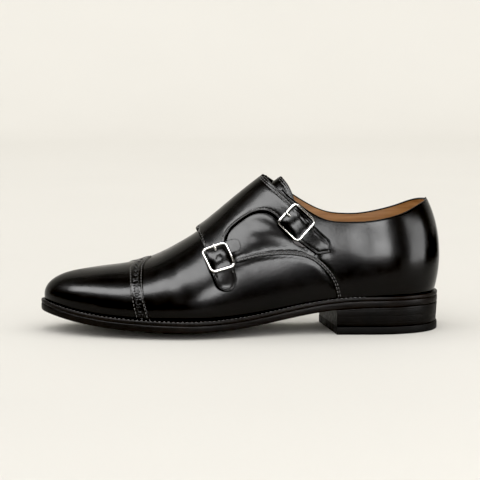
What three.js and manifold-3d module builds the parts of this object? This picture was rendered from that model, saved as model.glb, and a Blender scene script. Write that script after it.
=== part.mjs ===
// A left shoe of the double monk strap kind, built the way it is made: an upper shell shaped by
// the last, quarters, toe cap and strap flap laid over it, a welt, an outsole, a stacked heel.
//
// Frame: millimetres, +Z up, toe towards -X, heel towards +X, outer (lateral) side towards -Y.
// The origin is the centre of the heel's flat bottom, on the floor.
//
// The tables use the shoemaker's own measures: "forward" is the distance from the heel's back
// towards the toe, "across" is positive towards the inner side, "up" is the height over the floor.
import * as THREE from 'three';
import { mergeVertices } from 'three/addons/utils/BufferGeometryUtils.js';
import Module from 'manifold-3d';

const wasm = await Module();
wasm.setup();

// ---- driving dimensions ------------------------------------------------------------------
const HEEL_CENTRE = 42; // the origin's distance forward of the heel's back
const GAP = 0.3; // left between neighbouring pieces
const WALL = 2.4; // upper: outer leather, stiffener and lining together
const OVERLAY = 1.0; // one layer of leather laid over the vamp
const STRAP = 1.6; // doubled leather of the flap and its straps
const TONGUE = 2.0;
const INSOLE = 2.6;
const WELT = 2.7;
const WELT_INWARD = 6; // how far the welt reaches in under the upper
const OUTSOLE = 5;
const TOP_PIECE = 6; // the heel's lowest lift
const HEEL_TAPER = 0.9; // how much narrower the heel is at its bottom
const FLOOR = 0;
const COLUMNS = 36; // along each side of the shoe
const ROWS = 10; // from the feather line up to the ridge
const RUNGS = 5; // across the sole

// Feather line: the plan outline where the upper meets the welt, round the shoe.
// [place, forward, across]
const FEATHER = [
  ['heel back', 5.7, 3],
  ['heel back outer', 12.5, -17],
  ['heel outer', 38, -31],
  ['seat outer', 76, -31],
  ['waist outer', 112, -32],
  ['waist front outer', 148, -38.5],
  ['ball outer', 186, -46],
  ['forefoot outer', 222, -42.5],
  ['toe outer', 256, -32.5],
  ['toe corner outer', 285, -16],
  ['toe tip', 299.8, 6.5],
  ['toe corner inner', 288, 26.5],
  ['toe inner', 262, 38],
  ['forefoot inner', 234, 43.5],
  ['ball inner', 208, 45],
  ['waist front inner', 166, 35.5],
  ['waist inner', 124, 24.5],
  ['seat inner', 84, 25.5],
  ['heel inner', 44, 31.5],
  ['heel back inner', 13.5, 22.5],
];
const TOE_TIP = FEATHER.findIndex(([place]) => place === 'toe tip');

// Height of the feather line, and how far the sole bellies down between its two edges.
// [forward, up, belly]
const SOLE_RISE = [
  [0, 29.2, 0],
  [40, 28.8, 0],
  [76, 27.6, 0],
  [106, 23.6, 0.9],
  [144, 16.8, 3.4],
  [182, 13.6, 6],
  [220, 13.9, 6.2],
  [258, 16.2, 3.6],
  [286, 20.4, 1.2],
  [300, 23.4, 0.4],
];

// Ridge: the top line of the last, from over the heel to the toe. [forward, across, up]
const RIDGE = [
  [34, 1, 119],
  [62, 1.5, 126],
  [92, 2, 129.5],
  [116, 2, 126],
  [134, 1.5, 115.2],
  [160, 1, 94.8],
  [185, 0, 75],
  [200, 0, 65.7],
  [215, 0.5, 57.3],
  [230, 1.2, 51.6],
  [250, 2.6, 48.2],
  [270, 4.5, 45.6],
];

// Wall section: a curve from the feather line to the ridge. It leaves the feather line
// leaning out by "bulge" over "rise" of the height, and meets the ridge level over "crown"
// of the width. [forward, bulge outer, bulge inner, rise outer, rise inner, crown outer, crown inner]
const WALL_SECTION = [
  [5.7, 11.5, 11.5, 0.42, 0.42, 0.86, 0.86],
  [40, 8, 7, 0.42, 0.42, 0.86, 0.86],
  [80, 5, 4.5, 0.4, 0.42, 0.72, 0.74],
  [115, 4.6, 3.4, 0.35, 0.38, 0.68, 0.72],
  [150, 5, 4.4, 0.36, 0.38, 0.66, 0.7],
  [188, 6, 5.2, 0.4, 0.42, 0.6, 0.64],
  [225, 5.4, 5.2, 0.46, 0.48, 0.62, 0.66],
  [260, 4.4, 4.6, 0.52, 0.54, 0.71, 0.73],
  [299.5, 3, 3, 0.54, 0.54, 0.7, 0.7],
];

// How far welt, outsole and heel stand out beyond the feather line. [forward, outer, inner]
const SOLE_MARGIN = [
  [0, 3.8, 3.8],
  [76, 3.8, 3.6],
  [120, 3.6, 3],
  [186, 5.8, 4.6],
  [254, 4.8, 4.6],
  [303, 4, 4],
];

// Edges as seen from the side, [forward, up], each a smooth run through its points.
const COLLAR_INNER = [
  [8, 98.6],
  [14.5, 97.3],
  [29.5, 91.3],
  [45, 86.8],
  [60, 84.6],
  [72, 84.8],
  [84, 86.5],
  [98, 92.3],
  [113.5, 102],
  [135.8, 117.8],
];
const COLLAR_OUTER = [
  [8, 98.6],
  [14.5, 97.3],
  [29.5, 91.3],
  [45, 86.8],
  [60, 84.4],
  [72, 83.9],
  [84, 84.2],
  [91, 85.6],
  [98, 88.6],
  [105, 92.8],
  [113.5, 99],
  [121, 105.6],
  [128, 111.6],
  [135.8, 117.8],
];
const VAMP_SEAM = [
  [82.4, 26.3],
  [84.9, 36.6],
  [91.9, 48.2],
  [100.7, 55.8],
  [114.3, 59.8],
  [128.9, 60.1],
  [144.1, 58.6],
  [158.3, 55.5],
];
const FACING_OUTER = [
  [168.9, 57.1],
  [172.9, 64],
  [167.9, 75],
  [151.1, 93.8],
  [135.2, 104.7],
  [122.3, 107.8],
];
const FLAP_FRONT = [
  [186.5, 76.6],
  [182.1, 66.5],
  [179.1, 57.1],
  [177.3, 48.2],
];
const LOWER_TAIL_FRONT = [
  [177.3, 48.2],
  [175.6, 44.9],
  [173.9, 40.3],
  [171.2, 36.8],
];
const LOWER_TAIL_TIP = [
  [171.2, 36.8],
  [167.9, 35.4],
  [164.8, 35],
  [162.5, 35.3],
];
const ARCH = [
  [162.5, 35.3],
  [159.5, 38.7],
  [158.1, 42.5],
  [158.7, 47.9],
  [160.3, 53.2],
  [162.9, 60.1],
  [166.2, 68.5],
  [165.6, 75],
  [156.5, 84.9],
  [147.1, 90.6],
  [139.2, 92.6],
  [132.6, 91.5],
  [126.3, 86.4],
  [119.1, 77.6],
  [107.4, 66.9],
  [97.7, 60.1],
];
const UPPER_TAIL_END = [
  [97.7, 60.1],
  [87.6, 61.6],
];
const UPPER_TAIL_BACK = [
  [87.6, 61.6],
  [87.2, 67],
  [88.5, 71.5],
];
const FLAP_TOP = [
  [88.5, 71.5],
  [96.8, 79.1],
  [105.4, 87.7],
  [113.4, 96.8],
  [120.6, 103.9],
  [131.2, 113.2],
  [135.8, 117.8],
];
const CAP_SEAM = [
  [222.6, 14.4],
  [226.2, 26.6],
  [227.3, 35.5],
  [227.4, 45.4],
  [226.5, 52.8],
];
const THROAT = { front: 183, back: 108, halfWidth: 12, floor: 60 }; // the slot that the tongue closes
const TONGUE_TIP = { forward: 122.5, up: 117.4 };
const TONGUE_ROOT = { forward: 196.7, up: 70 };
const TONGUE_DEPTH = 30; // how far the tongue reaches down each side, as seen from the side
const HEEL_BREAST = { outer: 83, inner: 90, halfWidth: 32 };

// The buckles: centre and the strap's run towards its tail, as seen from the side.
const BUCKLE = { corner: 4.2, wire: 2, thickness: 1.7, prongWidth: 1.8 };
const BUCKLES = [
  { name: 'lower', size: 20, forward: 171.2, up: 58, run: [-6.2, -15.4] },
  { name: 'upper', size: 22.2, forward: 113.1, up: 83.4, run: [-15.7, -14.4] },
];

const COLOURS = {
  leather: { color: 0x14120f, roughness: 0.28, metalness: 0 },
  edge: { color: 0x100d0b, roughness: 0.45, metalness: 0 },
  lining: { color: 0xb98a55, roughness: 0.7, metalness: 0 },
  nickel: { color: 0xd8d8d4, roughness: 0.2, metalness: 1 },
  rubber: { color: 0x151413, roughness: 0.8, metalness: 0 },
};

// ---- curves ------------------------------------------------------------------------------
// A natural cubic spline through rows [knot, value, value...]; it runs on straight past its ends.
function spline(rows) {
  const knots = rows.map((row) => row[0]);
  const last = rows.length - 1;
  const steps = knots.slice(1).map((knot, i) => knot - knots[i]);
  const tracks = rows[0].slice(1).map((_, k) => {
    const values = rows.map((row) => row[k + 1]);
    return { values, bends: bendsOf(values, steps) };
  });
  return (at) => {
    let i = 0;
    while (i < last - 1 && at > knots[i + 1]) i += 1;
    const step = steps[i];
    const inside = Math.min(Math.max(at - knots[i], 0), step);
    const beyond = at - knots[i] - inside;
    return tracks.map(({ values, bends }) => {
      const lean = (values[i + 1] - values[i]) / step - (step * (2 * bends[i] + bends[i + 1])) / 6;
      const curl = (bends[i + 1] - bends[i]) / step;
      const value = values[i] + inside * (lean + inside * (bends[i] / 2 + (inside * curl) / 6));
      const slope = lean + inside * (bends[i] + (inside * curl) / 2);
      return value + beyond * slope;
    });
  };
}

// Second derivatives of a natural spline at its knots, by the tridiagonal method.
function bendsOf(values, steps) {
  const last = values.length - 1;
  const bends = new Array(last + 1).fill(0);
  const ratio = new Array(last + 1).fill(0);
  for (let i = 1; i < last; i += 1) {
    const jump = (values[i + 1] - values[i]) / steps[i] - (values[i] - values[i - 1]) / steps[i - 1];
    const pivot = 2 * (steps[i - 1] + steps[i]) - steps[i - 1] * ratio[i - 1];
    ratio[i] = steps[i] / pivot;
    bends[i] = (6 * jump - steps[i - 1] * bends[i - 1]) / pivot;
  }
  for (let i = last - 1; i > 0; i -= 1) bends[i] -= ratio[i] * bends[i + 1];
  return bends;
}

// Rows for a spline by distance run along a list of points.
function byDistance(points, power = 1) {
  let run = 0;
  return points.map((point, i) => {
    if (i > 0) run += Math.hypot(...point.map((value, k) => value - points[i - 1][k])) ** power;
    return [run, ...point];
  });
}

// Points along a smooth run, about "step" apart.
function smoothRun(points, step = 4) {
  const rows = byDistance(points);
  const curve = spline(rows);
  const length = rows[rows.length - 1][0];
  const count = points.length === 2 ? 1 : Math.max(2, Math.round(length / step));
  return Array.from({ length: count + 1 }, (_, i) => curve((length * i) / count));
}

// ---- the last's surface ------------------------------------------------------------------
const OUTER = -1;
const INNER = 1;
const WRAP = 5; // rows repeated past both ends, so that the closed outline has no kink
const TURN = 0.9; // eases the outline through its tight rows at toe and heel
const plan = FEATHER.map(([, forward, across]) => [forward, across]);
const wrapped = byDistance([...plan.slice(-WRAP), ...plan, ...plan.slice(0, WRAP + 1)], TURN);
const outline = spline(wrapped);
const AT_HEEL = wrapped[WRAP][0];
const AT_TOE = wrapped[WRAP + TOE_TIP][0];
const AT_END = wrapped[WRAP + FEATHER.length][0];

const soleRise = spline(SOLE_RISE);
const ridge = spline(RIDGE);
const wallSection = spline(WALL_SECTION);
const soleMargin = spline(SOLE_MARGIN);
const SMALL = 1e-3;

const soleHeight = (forward) => soleRise(forward)[0];
const belly = (forward) => Math.max(0, soleRise(forward)[1]);

// A place on the feather line, with the plan direction that points out of the shoe.
// "along" runs from 0 at the heel's back to 1 at the toe's tip, on either side.
function featherAt(along, side) {
  const at =
    side === OUTER ? AT_HEEL + along * (AT_TOE - AT_HEEL) : AT_END + along * (AT_TOE - AT_END);
  const [forward, across] = outline(at);
  const [aheadForward, aheadAcross] = outline(at + SMALL);
  const [behindForward, behindAcross] = outline(at - SMALL);
  const [alongForward, alongAcross] = [aheadForward - behindForward, aheadAcross - behindAcross];
  const length = Math.hypot(alongForward, alongAcross);
  return { forward, across, out: [alongAcross / length, -alongForward / length] };
}

const vector = (forward, across, up) => new THREE.Vector3(forward, across, up);

// A point of the last: "up" runs from 0 at the feather line to 1 at the ridge.
function lastPoint(along, up, side) {
  const foot = featherAt(along, side);
  const opposite = featherAt(along, -side);
  const middle = (foot.forward + opposite.forward) / 2;
  const share = (middle - plan[0][0]) / (plan[TOE_TIP][0] - plan[0][0]);
  const ridgeForward = RIDGE[0][0] + share * (RIDGE[RIDGE.length - 1][0] - RIDGE[0][0]);
  const [ridgeAcross, ridgeUp] = ridge(ridgeForward);
  const ridgeSlope = ridge(ridgeForward + 0.5)[1] - ridge(ridgeForward - 0.5)[1];
  const section = wallSection(foot.forward);
  const pick = side === OUTER ? 0 : 1;
  const [bulge, rise, crown] = [section[pick], section[2 + pick], section[4 + pick]];
  const start = vector(foot.forward, foot.across, soleHeight(foot.forward));
  const end = vector(ridgeForward, ridgeAcross, ridgeUp);
  const lean = vector(
    start.x + foot.out[0] * bulge,
    start.y + foot.out[1] * bulge,
    start.z + rise * (end.z - start.z),
  );
  const level = vector(
    end.x + (start.x - end.x) * crown,
    end.y + (start.y - end.y) * crown,
    end.z + ridgeSlope * (start.x - end.x) * crown,
  );
  return new THREE.CubicBezierCurve3(start, lean, level, end).getPoint(up);
}

// Unit vector out of the last's surface.
function lastNormal(along, up, side) {
  const ahead = lastPoint(Math.min(along + SMALL, 1), up, side);
  const behind = lastPoint(Math.max(along - SMALL, 0), up, side);
  const above = lastPoint(along, up + SMALL, side);
  const below = lastPoint(along, up - SMALL, side);
  return ahead.sub(behind).cross(above.sub(below)).multiplyScalar(-side).normalize();
}

function wallPoint(along, up, side, offset) {
  return lastPoint(along, up, side).addScaledVector(lastNormal(along, up, side), offset);
}

// ---- meshes and solids -------------------------------------------------------------------
// From the shoemaker's measures to the part's frame: forward is -X.
const toFrame = (point) => [HEEL_CENTRE - point.x, point.y, point.z];

// Turning "forward" into -X mirrors a shape, so each triangle's corners are turned round too.
function meshOf(triangles) {
  const positions = [];
  for (const [a, b, c] of triangles) {
    positions.push(...toFrame(a), ...toFrame(c), ...toFrame(b));
  }
  const geometry = new THREE.BufferGeometry();
  geometry.setAttribute('position', new THREE.Float32BufferAttribute(positions, 3));
  return mergeVertices(geometry, 1e-4);
}

function solidOf(geometry) {
  const bare = geometry.clone();
  bare.deleteAttribute('normal');
  bare.deleteAttribute('uv');
  const merged = mergeVertices(bare, 1e-4);
  const index = merged.index.array;
  const kept = [];
  for (let i = 0; i < index.length; i += 3) {
    const [a, b, c] = [index[i], index[i + 1], index[i + 2]];
    if (a !== b && b !== c && a !== c) kept.push(a, b, c);
  }
  const vertProperties = new Float32Array(merged.attributes.position.array);
  const triVerts = new Uint32Array(kept);
  return new wasm.Manifold(new wasm.Mesh({ numProp: 3, vertProperties, triVerts }));
}

function geometryOf(solid) {
  const mesh = solid.getMesh();
  const geometry = new THREE.BufferGeometry();
  const positions = new Float32Array(mesh.vertProperties);
  geometry.setAttribute('position', new THREE.BufferAttribute(positions, 3));
  geometry.setIndex(new THREE.BufferAttribute(new Uint32Array(mesh.triVerts), 1));
  return geometry;
}

function quad(triangles, a, b, c, d) {
  triangles.push([a, b, c], [a, c, d]);
}

// The last's form grown by an offset, closed across its bottom. A skirt carries it straight
// down past the feather line, so that what it cuts stays open underneath.
function form(offsetAt, skirt = 0) {
  const down = vector(0, 0, -skirt);
  const wall = {};
  for (const side of [OUTER, INNER]) {
    wall[side] = Array.from({ length: COLUMNS + 1 }, (_, i) => {
      const along = i / COLUMNS;
      const column = Array.from({ length: ROWS + 1 }, (_, j) => {
        const up = j / ROWS;
        const shared = i === 0 || i === COLUMNS || j === ROWS;
        const own = shared ? OUTER : side;
        const point = wallPoint(along, up, own, offsetAt(along, up, own));
        if (j === 0) point.z = lastPoint(along, 0, own).z;
        return point;
      });
      if (skirt > 0) column.unshift(column[0].clone().add(down));
      return column;
    });
  }
  const triangles = [];
  for (const side of [OUTER, INNER]) {
    const columns = wall[side];
    for (let i = 0; i < COLUMNS; i += 1) {
      for (let j = 0; j < columns[i].length - 1; j += 1) {
        const corners = [columns[i][j], columns[i + 1][j], columns[i + 1][j + 1], columns[i][j + 1]];
        if (side === INNER) corners.reverse();
        quad(triangles, ...corners);
      }
    }
  }
  for (let i = 0; i < COLUMNS; i += 1) {
    const [outerNear, outerFar] = [wall[OUTER][i][0], wall[OUTER][i + 1][0]];
    const [innerNear, innerFar] = [wall[INNER][i][0], wall[INNER][i + 1][0]];
    quad(triangles, outerNear, innerNear, innerFar, outerFar);
  }
  return solidOf(meshOf(triangles));
}

const SKIRT = 8; // deeper than any wall's lower edge reaches

// What lies between two offsets of the last, open underneath.
function between(innerOffset, outerOffset) {
  return form(outerOffset).subtract(form(innerOffset, SKIRT));
}

// A solid with the given side-view outline [forward, up], standing from one place across to
// another.
function sidePrism(points, from, to) {
  const corners = points.map(([forward, up]) => new THREE.Vector2(HEEL_CENTRE - forward, up));
  const shape = new THREE.Shape(corners);
  const geometry = new THREE.ExtrudeGeometry(shape, { depth: to - from, bevelEnabled: false });
  geometry.rotateX(Math.PI / 2);
  geometry.translate(0, to, 0);
  return solidOf(geometry);
}

// A solid with the given plan outline [forward, across], between two heights.
function planPrism(points, from, to) {
  const corners = points.map(([forward, across]) => new THREE.Vector2(HEEL_CENTRE - forward, across));
  const shape = new THREE.Shape(corners);
  const geometry = new THREE.ExtrudeGeometry(shape, { depth: to - from, bevelEnabled: false });
  geometry.translate(0, 0, from);
  return solidOf(geometry);
}

// A layer of the sole. Its edge stands out from the feather line by a margin, and its faces
// lie at given heights over the last's bottom, or at a level where one is given.
function soleLayer({ top, bottom, marginTop, marginBottom = marginTop }) {
  const rung = (i, margin, level) => {
    const along = i / COLUMNS;
    const shared = i % COLUMNS === 0;
    const feet = [OUTER, INNER].map((side) => featherAt(along, shared ? OUTER : side));
    const ends = feet.map((foot, k) => {
      const stand = margin(foot.forward, shared ? 0 : k);
      return [foot.forward + foot.out[0] * stand, foot.across + foot.out[1] * stand];
    });
    const reach = [feet[1].forward - feet[0].forward, feet[1].across - feet[0].across];
    const width = Math.hypot(...reach) ** 2;
    return Array.from({ length: RUNGS + 1 }, (_, k) => {
      const share = k / RUNGS;
      const forward = ends[0][0] + (ends[1][0] - ends[0][0]) * share;
      const across = ends[0][1] + (ends[1][1] - ends[0][1]) * share;
      const from = [forward - feet[0].forward, across - feet[0].across];
      const place = width > SMALL ? (from[0] * reach[0] + from[1] * reach[1]) / width : 0;
      return vector(forward, across, level(forward, place));
    });
  };
  const tops = Array.from({ length: COLUMNS + 1 }, (_, i) => rung(i, marginTop, top));
  const bottoms = Array.from({ length: COLUMNS + 1 }, (_, i) => rung(i, marginBottom, bottom));
  const triangles = [];
  for (let i = 0; i < COLUMNS; i += 1) {
    for (let k = 0; k < RUNGS; k += 1) {
      quad(triangles, tops[i][k], tops[i + 1][k], tops[i + 1][k + 1], tops[i][k + 1]);
      quad(triangles, bottoms[i][k], bottoms[i][k + 1], bottoms[i + 1][k + 1], bottoms[i + 1][k]);
    }
    quad(triangles, bottoms[i][0], bottoms[i + 1][0], tops[i + 1][0], tops[i][0]);
    quad(triangles, tops[i][RUNGS], tops[i + 1][RUNGS], bottoms[i + 1][RUNGS], bottoms[i][RUNGS]);
  }
  return solidOf(meshOf(triangles));
}

// Height of the last's bottom: the feather line's height at the edges, lower in between.
function lastBottom(forward, place) {
  const sag = Math.max(0, 4 * place * (1 - place));
  return soleHeight(forward) - belly(forward) * sag;
}

const marginOf = (forward, k) => soleMargin(forward)[k];

// ---- the pieces --------------------------------------------------------------------------
// Cutting forms reach well past the shoe.
const ASIDE = 90;
const BEHIND = -30;
const AHEAD = 330;
const UNDER = -20;
const OVER = 200;
const BACK_SEAM = 2.4; // where the two quarters meet at the heel's back, across
const CAP_TOP = 90; // over the toe, under the instep
const level = (offset) => () => offset;

// What lies over the foot's opening. The outer side's edge is a little lower at the instep.
function overCollar(edge, from, to) {
  const shape = [[BEHIND, 101], ...smoothRun(edge, 8), [150, 131], [150, OVER], [BEHIND, OVER]];
  return sidePrism(shape, from, to);
}
const collarCutter = overCollar(COLLAR_OUTER, -ASIDE, 0).add(overCollar(COLLAR_INNER, 0, ASIDE));

function throatCutter() {
  const { front, back, halfWidth, floor } = THROAT;
  const shape = [[back, -halfWidth], [back, halfWidth]];
  const round = 6;
  for (let i = 0; i <= round; i += 1) {
    const angle = (Math.PI * i) / round;
    const forward = front - halfWidth + Math.sin(angle) * halfWidth;
    shape.push([forward, Math.cos(angle) * halfWidth]);
  }
  return planPrism(shape, floor, OVER);
}

function upper() {
  return between(level(-WALL), level(0)).subtract(collarCutter).subtract(throatCutter());
}

function toeCap() {
  const seam = smoothRun(CAP_SEAM, 9);
  const [foot, head] = [seam[0][0], seam[seam.length - 1][0]];
  const front = sidePrism(
    [[foot, UNDER], ...seam, [head, CAP_TOP], [AHEAD, CAP_TOP], [AHEAD, UNDER]],
    -ASIDE,
    ASIDE,
  );
  return between(level(GAP), level(GAP + OVERLAY)).intersect(front);
}

// The line where each quarter starts behind the vamp, from the welt upwards.
const quarterFoot = VAMP_SEAM[0][0];

function quarterOuter() {
  const seam = smoothRun([...VAMP_SEAM, FACING_OUTER[0]], 8);
  const facing = smoothRun(FACING_OUTER, 9).slice(1);
  const top = [facing[facing.length - 1][0] - 10, OVER];
  const side = sidePrism(
    [[BEHIND, UNDER], [quarterFoot, UNDER], ...seam, ...facing, top, [BEHIND, OVER]],
    -ASIDE,
    BACK_SEAM - GAP / 2,
  );
  return between(level(GAP), level(GAP + OVERLAY)).intersect(side).subtract(collarCutter);
}

// The inner quarter lies flat on the vamp at its side and rises over the instep, to pass over
// the outer quarter as the strap flap.
const UNDER_FLAP = 2 * GAP + OVERLAY;
const HEEL_PART = 76; // the flap lies forward of this, so what is behind it is the quarter
function shareOfFlap(along, up, side) {
  if (side === OUTER) return THREE.MathUtils.smoothstep(along, 0.2, 0.28);
  return THREE.MathUtils.smoothstep(up, 0.45, 0.85) * THREE.MathUtils.smoothstep(along, 0.26, 0.38);
}
function flapUnderside(along, up, side) {
  return GAP + (UNDER_FLAP - GAP) * shareOfFlap(along, up, side);
}
function flapFace(along, up, side) {
  const thickness = OVERLAY + (STRAP - OVERLAY) * shareOfFlap(along, up, side);
  return flapUnderside(along, up, side) + thickness;
}

function flapOutline() {
  const stretches = [
    [FLAP_FRONT, 7],
    [LOWER_TAIL_FRONT, 4],
    [LOWER_TAIL_TIP, 3],
    [ARCH, 5],
    [UPPER_TAIL_END, 9],
    [UPPER_TAIL_BACK, 4],
    [FLAP_TOP, 8],
  ];
  return stretches.flatMap(([points, step], i) => smoothRun(points, step).slice(i === 0 ? 0 : 1));
}

function quarterInner() {
  const ridgeAcross = 1;
  const overRidge = [FLAP_FRONT[0][0] + 3, FLAP_FRONT[0][1] + 9];
  const outerSide = sidePrism(
    [overRidge, ...flapOutline(), [139, 121], [150, OVER], [overRidge[0], OVER]],
    -ASIDE,
    ridgeAcross,
  );
  const [last, ...rest] = [...VAMP_SEAM].reverse();
  const frontEdge = smoothRun(
    [...rest.reverse(), [last[0], last[1] + 1.6], [174, 61], [182, 67.5], FLAP_FRONT[0]],
    8,
  );
  const overhead = [[overRidge[0], OVER], [BEHIND, OVER]];
  const innerSide = sidePrism(
    [[BEHIND, UNDER], [quarterFoot, UNDER], ...frontEdge, overRidge, ...overhead],
    ridgeAcross,
    ASIDE,
  );
  const seamAcross = BACK_SEAM + GAP / 2;
  const outerHeel = planPrism(
    [[BEHIND, seamAcross], [BEHIND, -ASIDE], [HEEL_PART, -ASIDE], [HEEL_PART, seamAcross]],
    UNDER,
    OVER,
  );
  return between(flapUnderside, flapFace)
    .intersect(outerSide.add(innerSide))
    .subtract(outerHeel)
    .subtract(collarCutter);
}

// The tongue lies inside the upper, under the throat slot, and shows above the flap.
function tongue() {
  const root = -(WALL + GAP);
  const dip = 3.2; // how much deeper the tongue lies at its tip than at its root
  const proud = 8; // past the instep's ridge, so that the whole crown is kept
  const face = (along) => root - dip * (1 - THREE.MathUtils.smoothstep(along, 0.42, 0.62));
  const [tip, base] = [TONGUE_TIP, TONGUE_ROOT].map(({ forward, up }) => new THREE.Vector2(forward, up));
  const run = tip.clone().sub(base).normalize();
  const down = new THREE.Vector2(-run.y, run.x);
  const strip = [[tip, -proud], [tip, TONGUE_DEPTH], [base, TONGUE_DEPTH], [base, -proud]].map(
    ([end, distance]) => end.clone().addScaledVector(down, distance).toArray(),
  );
  return between((along) => face(along) - TONGUE, face).intersect(sidePrism(strip, -ASIDE, ASIDE));
}

function insole() {
  const inset = -(WALL + 2 * GAP);
  const rest = 0.2; // over the last's bottom
  return soleLayer({
    top: (forward, place) => lastBottom(forward, place) + INSOLE + rest,
    bottom: (forward, place) => lastBottom(forward, place) + rest,
    marginTop: () => inset,
  });
}

function welt() {
  const full = soleLayer({
    top: (forward, place) => lastBottom(forward, place) - GAP,
    bottom: (forward, place) => lastBottom(forward, place) - GAP - WELT,
    marginTop: marginOf,
  });
  const hole = soleLayer({
    top: () => OVER,
    bottom: () => UNDER,
    marginTop: () => -WELT_INWARD,
  });
  return full.subtract(hole);
}

const UNDER_WELT = 2 * GAP + WELT;
function outsole() {
  return soleLayer({
    top: (forward, place) => lastBottom(forward, place) - UNDER_WELT,
    bottom: (forward, place) => Math.max(FLOOR, lastBottom(forward, place) - UNDER_WELT - OUTSOLE),
    marginTop: marginOf,
  });
}

// The heel's front face, the breast, runs a little askew, square to the heel's own axis.
function behindBreast(solid) {
  const { outer, inner, halfWidth } = HEEL_BREAST;
  const slope = (inner - outer) / (2 * halfWidth);
  const at = (across) => (outer + inner) / 2 + slope * across;
  const back = planPrism(
    [[BEHIND, -ASIDE], [at(-ASIDE), -ASIDE], [at(ASIDE), ASIDE], [BEHIND, ASIDE]],
    UNDER,
    OVER,
  );
  return solid.intersect(back);
}

function heelStack() {
  const top = (forward, place) => lastBottom(forward, place) - UNDER_WELT - OUTSOLE - GAP;
  const stack = soleLayer({
    top,
    bottom: () => TOP_PIECE + GAP,
    marginTop: marginOf,
    marginBottom: (forward, k) => marginOf(forward, k) - HEEL_TAPER,
  });
  return behindBreast(stack);
}

function heelTopPiece() {
  return behindBreast(soleLayer({
    top: () => TOP_PIECE,
    bottom: () => FLOOR,
    marginTop: (forward, k) => marginOf(forward, k) - HEEL_TAPER,
  }));
}

// ---- buckles -----------------------------------------------------------------------------
// Where on the outer wall a place seen from the side lies, found by Newton's method.
function placeOnWall(forward, up) {
  let [along, height] = [forward / 300, 0.5];
  const miss = (u, v) => {
    const point = wallPoint(u, v, OUTER, 0);
    return [point.x - forward, point.z - up];
  };
  for (let pass = 0; pass < 20; pass += 1) {
    const [x, z] = miss(along, height);
    const [xAlong, zAlong] = miss(along + SMALL, height).map((value, k) => (value - [x, z][k]) / SMALL);
    const [xUp, zUp] = miss(along, height + SMALL).map((value, k) => (value - [x, z][k]) / SMALL);
    const area = xAlong * zUp - xUp * zAlong;
    along -= (x * zUp - z * xUp) / area;
    height -= (z * xAlong - x * zAlong) / area;
  }
  return [along, height];
}

// The buckle's own frame: out of the wall, along the strap towards its tail, and across it.
function buckleFrame({ size, forward, up, run }) {
  const [along, height] = placeOnWall(forward, up);
  const out = lastNormal(along, height, OUTER);
  const runAcross = -(out.x * run[0] + out.z * run[1]) / out.y;
  const tail = vector(run[0], runAcross, run[1]).normalize();
  const beside = out.clone().cross(tail);
  return { size, along, height, out, tail, beside, centre: lastPoint(along, height, OUTER) };
}

// A point over the wall, given by its distances along and across the strap from the centre.
function overWall(frame, tailward, sideward, offset) {
  let [along, height] = [frame.along, frame.height];
  const miss = (u, v) => {
    const from = lastPoint(u, v, OUTER).sub(frame.centre);
    return [from.dot(frame.tail) - tailward, from.dot(frame.beside) - sideward];
  };
  for (let pass = 0; pass < 8; pass += 1) {
    const [x, z] = miss(along, height);
    const [xAlong, zAlong] = miss(along + SMALL, height).map((value, k) => (value - [x, z][k]) / SMALL);
    const [xUp, zUp] = miss(along, height + SMALL).map((value, k) => (value - [x, z][k]) / SMALL);
    const area = xAlong * zUp - xUp * zAlong;
    along -= (x * zUp - z * xUp) / area;
    height -= (z * xAlong - x * zAlong) / area;
  }
  return wallPoint(along, height, OUTER, offset);
}

const STRAP_FACE = UNDER_FLAP + STRAP;
const FRAME_LIFT = STRAP_FACE + GAP + BUCKLE.thickness / 2;

// A square ring of wire with round corners, bent to follow the strap under it.
function buckleRing(frame) {
  const half = (frame.size - BUCKLE.wire) / 2;
  const corner = BUCKLE.corner - BUCKLE.wire / 2;
  const path = new THREE.Path();
  path.moveTo(half - corner, -half);
  [0, 1, 2, 3].forEach((quarter) => {
    const turn = (quarter * Math.PI) / 2;
    const [x, y] = [half - corner, -half + corner];
    const centreX = x * Math.cos(turn) - y * Math.sin(turn);
    const centreY = x * Math.sin(turn) + y * Math.cos(turn);
    path.absarc(centreX, centreY, corner, turn - Math.PI / 2, turn, false);
  });
  path.closePath();
  const loop = path.getPoints(4);
  const spine = loop.filter((point, i) => point.distanceTo(loop[(i + 1) % loop.length]) > SMALL);
  const sides = 6;
  const section = Array.from({ length: sides }, (_, k) => (2 * Math.PI * (k + 0.5)) / sides);
  const rings = spine.map((point, i) => {
    const [next, previous] = [spine[(i + 1) % spine.length], spine[(i + spine.length - 1) % spine.length]];
    const heading = next.clone().sub(previous).normalize();
    return section.map((angle) => {
      const wide = (Math.cos(angle) * BUCKLE.wire) / 2;
      const high = (Math.sin(angle) * BUCKLE.thickness) / 2;
      return overWall(frame, point.x + heading.y * wide, point.y - heading.x * wide, FRAME_LIFT + high);
    });
  });
  const triangles = [];
  rings.forEach((ring, i) => {
    const nextRing = rings[(i + 1) % rings.length];
    ring.forEach((point, k) => {
      const m = (k + 1) % sides;
      quad(triangles, nextRing[k], nextRing[m], ring[m], point);
    });
  });
  return meshOf(triangles);
}

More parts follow.
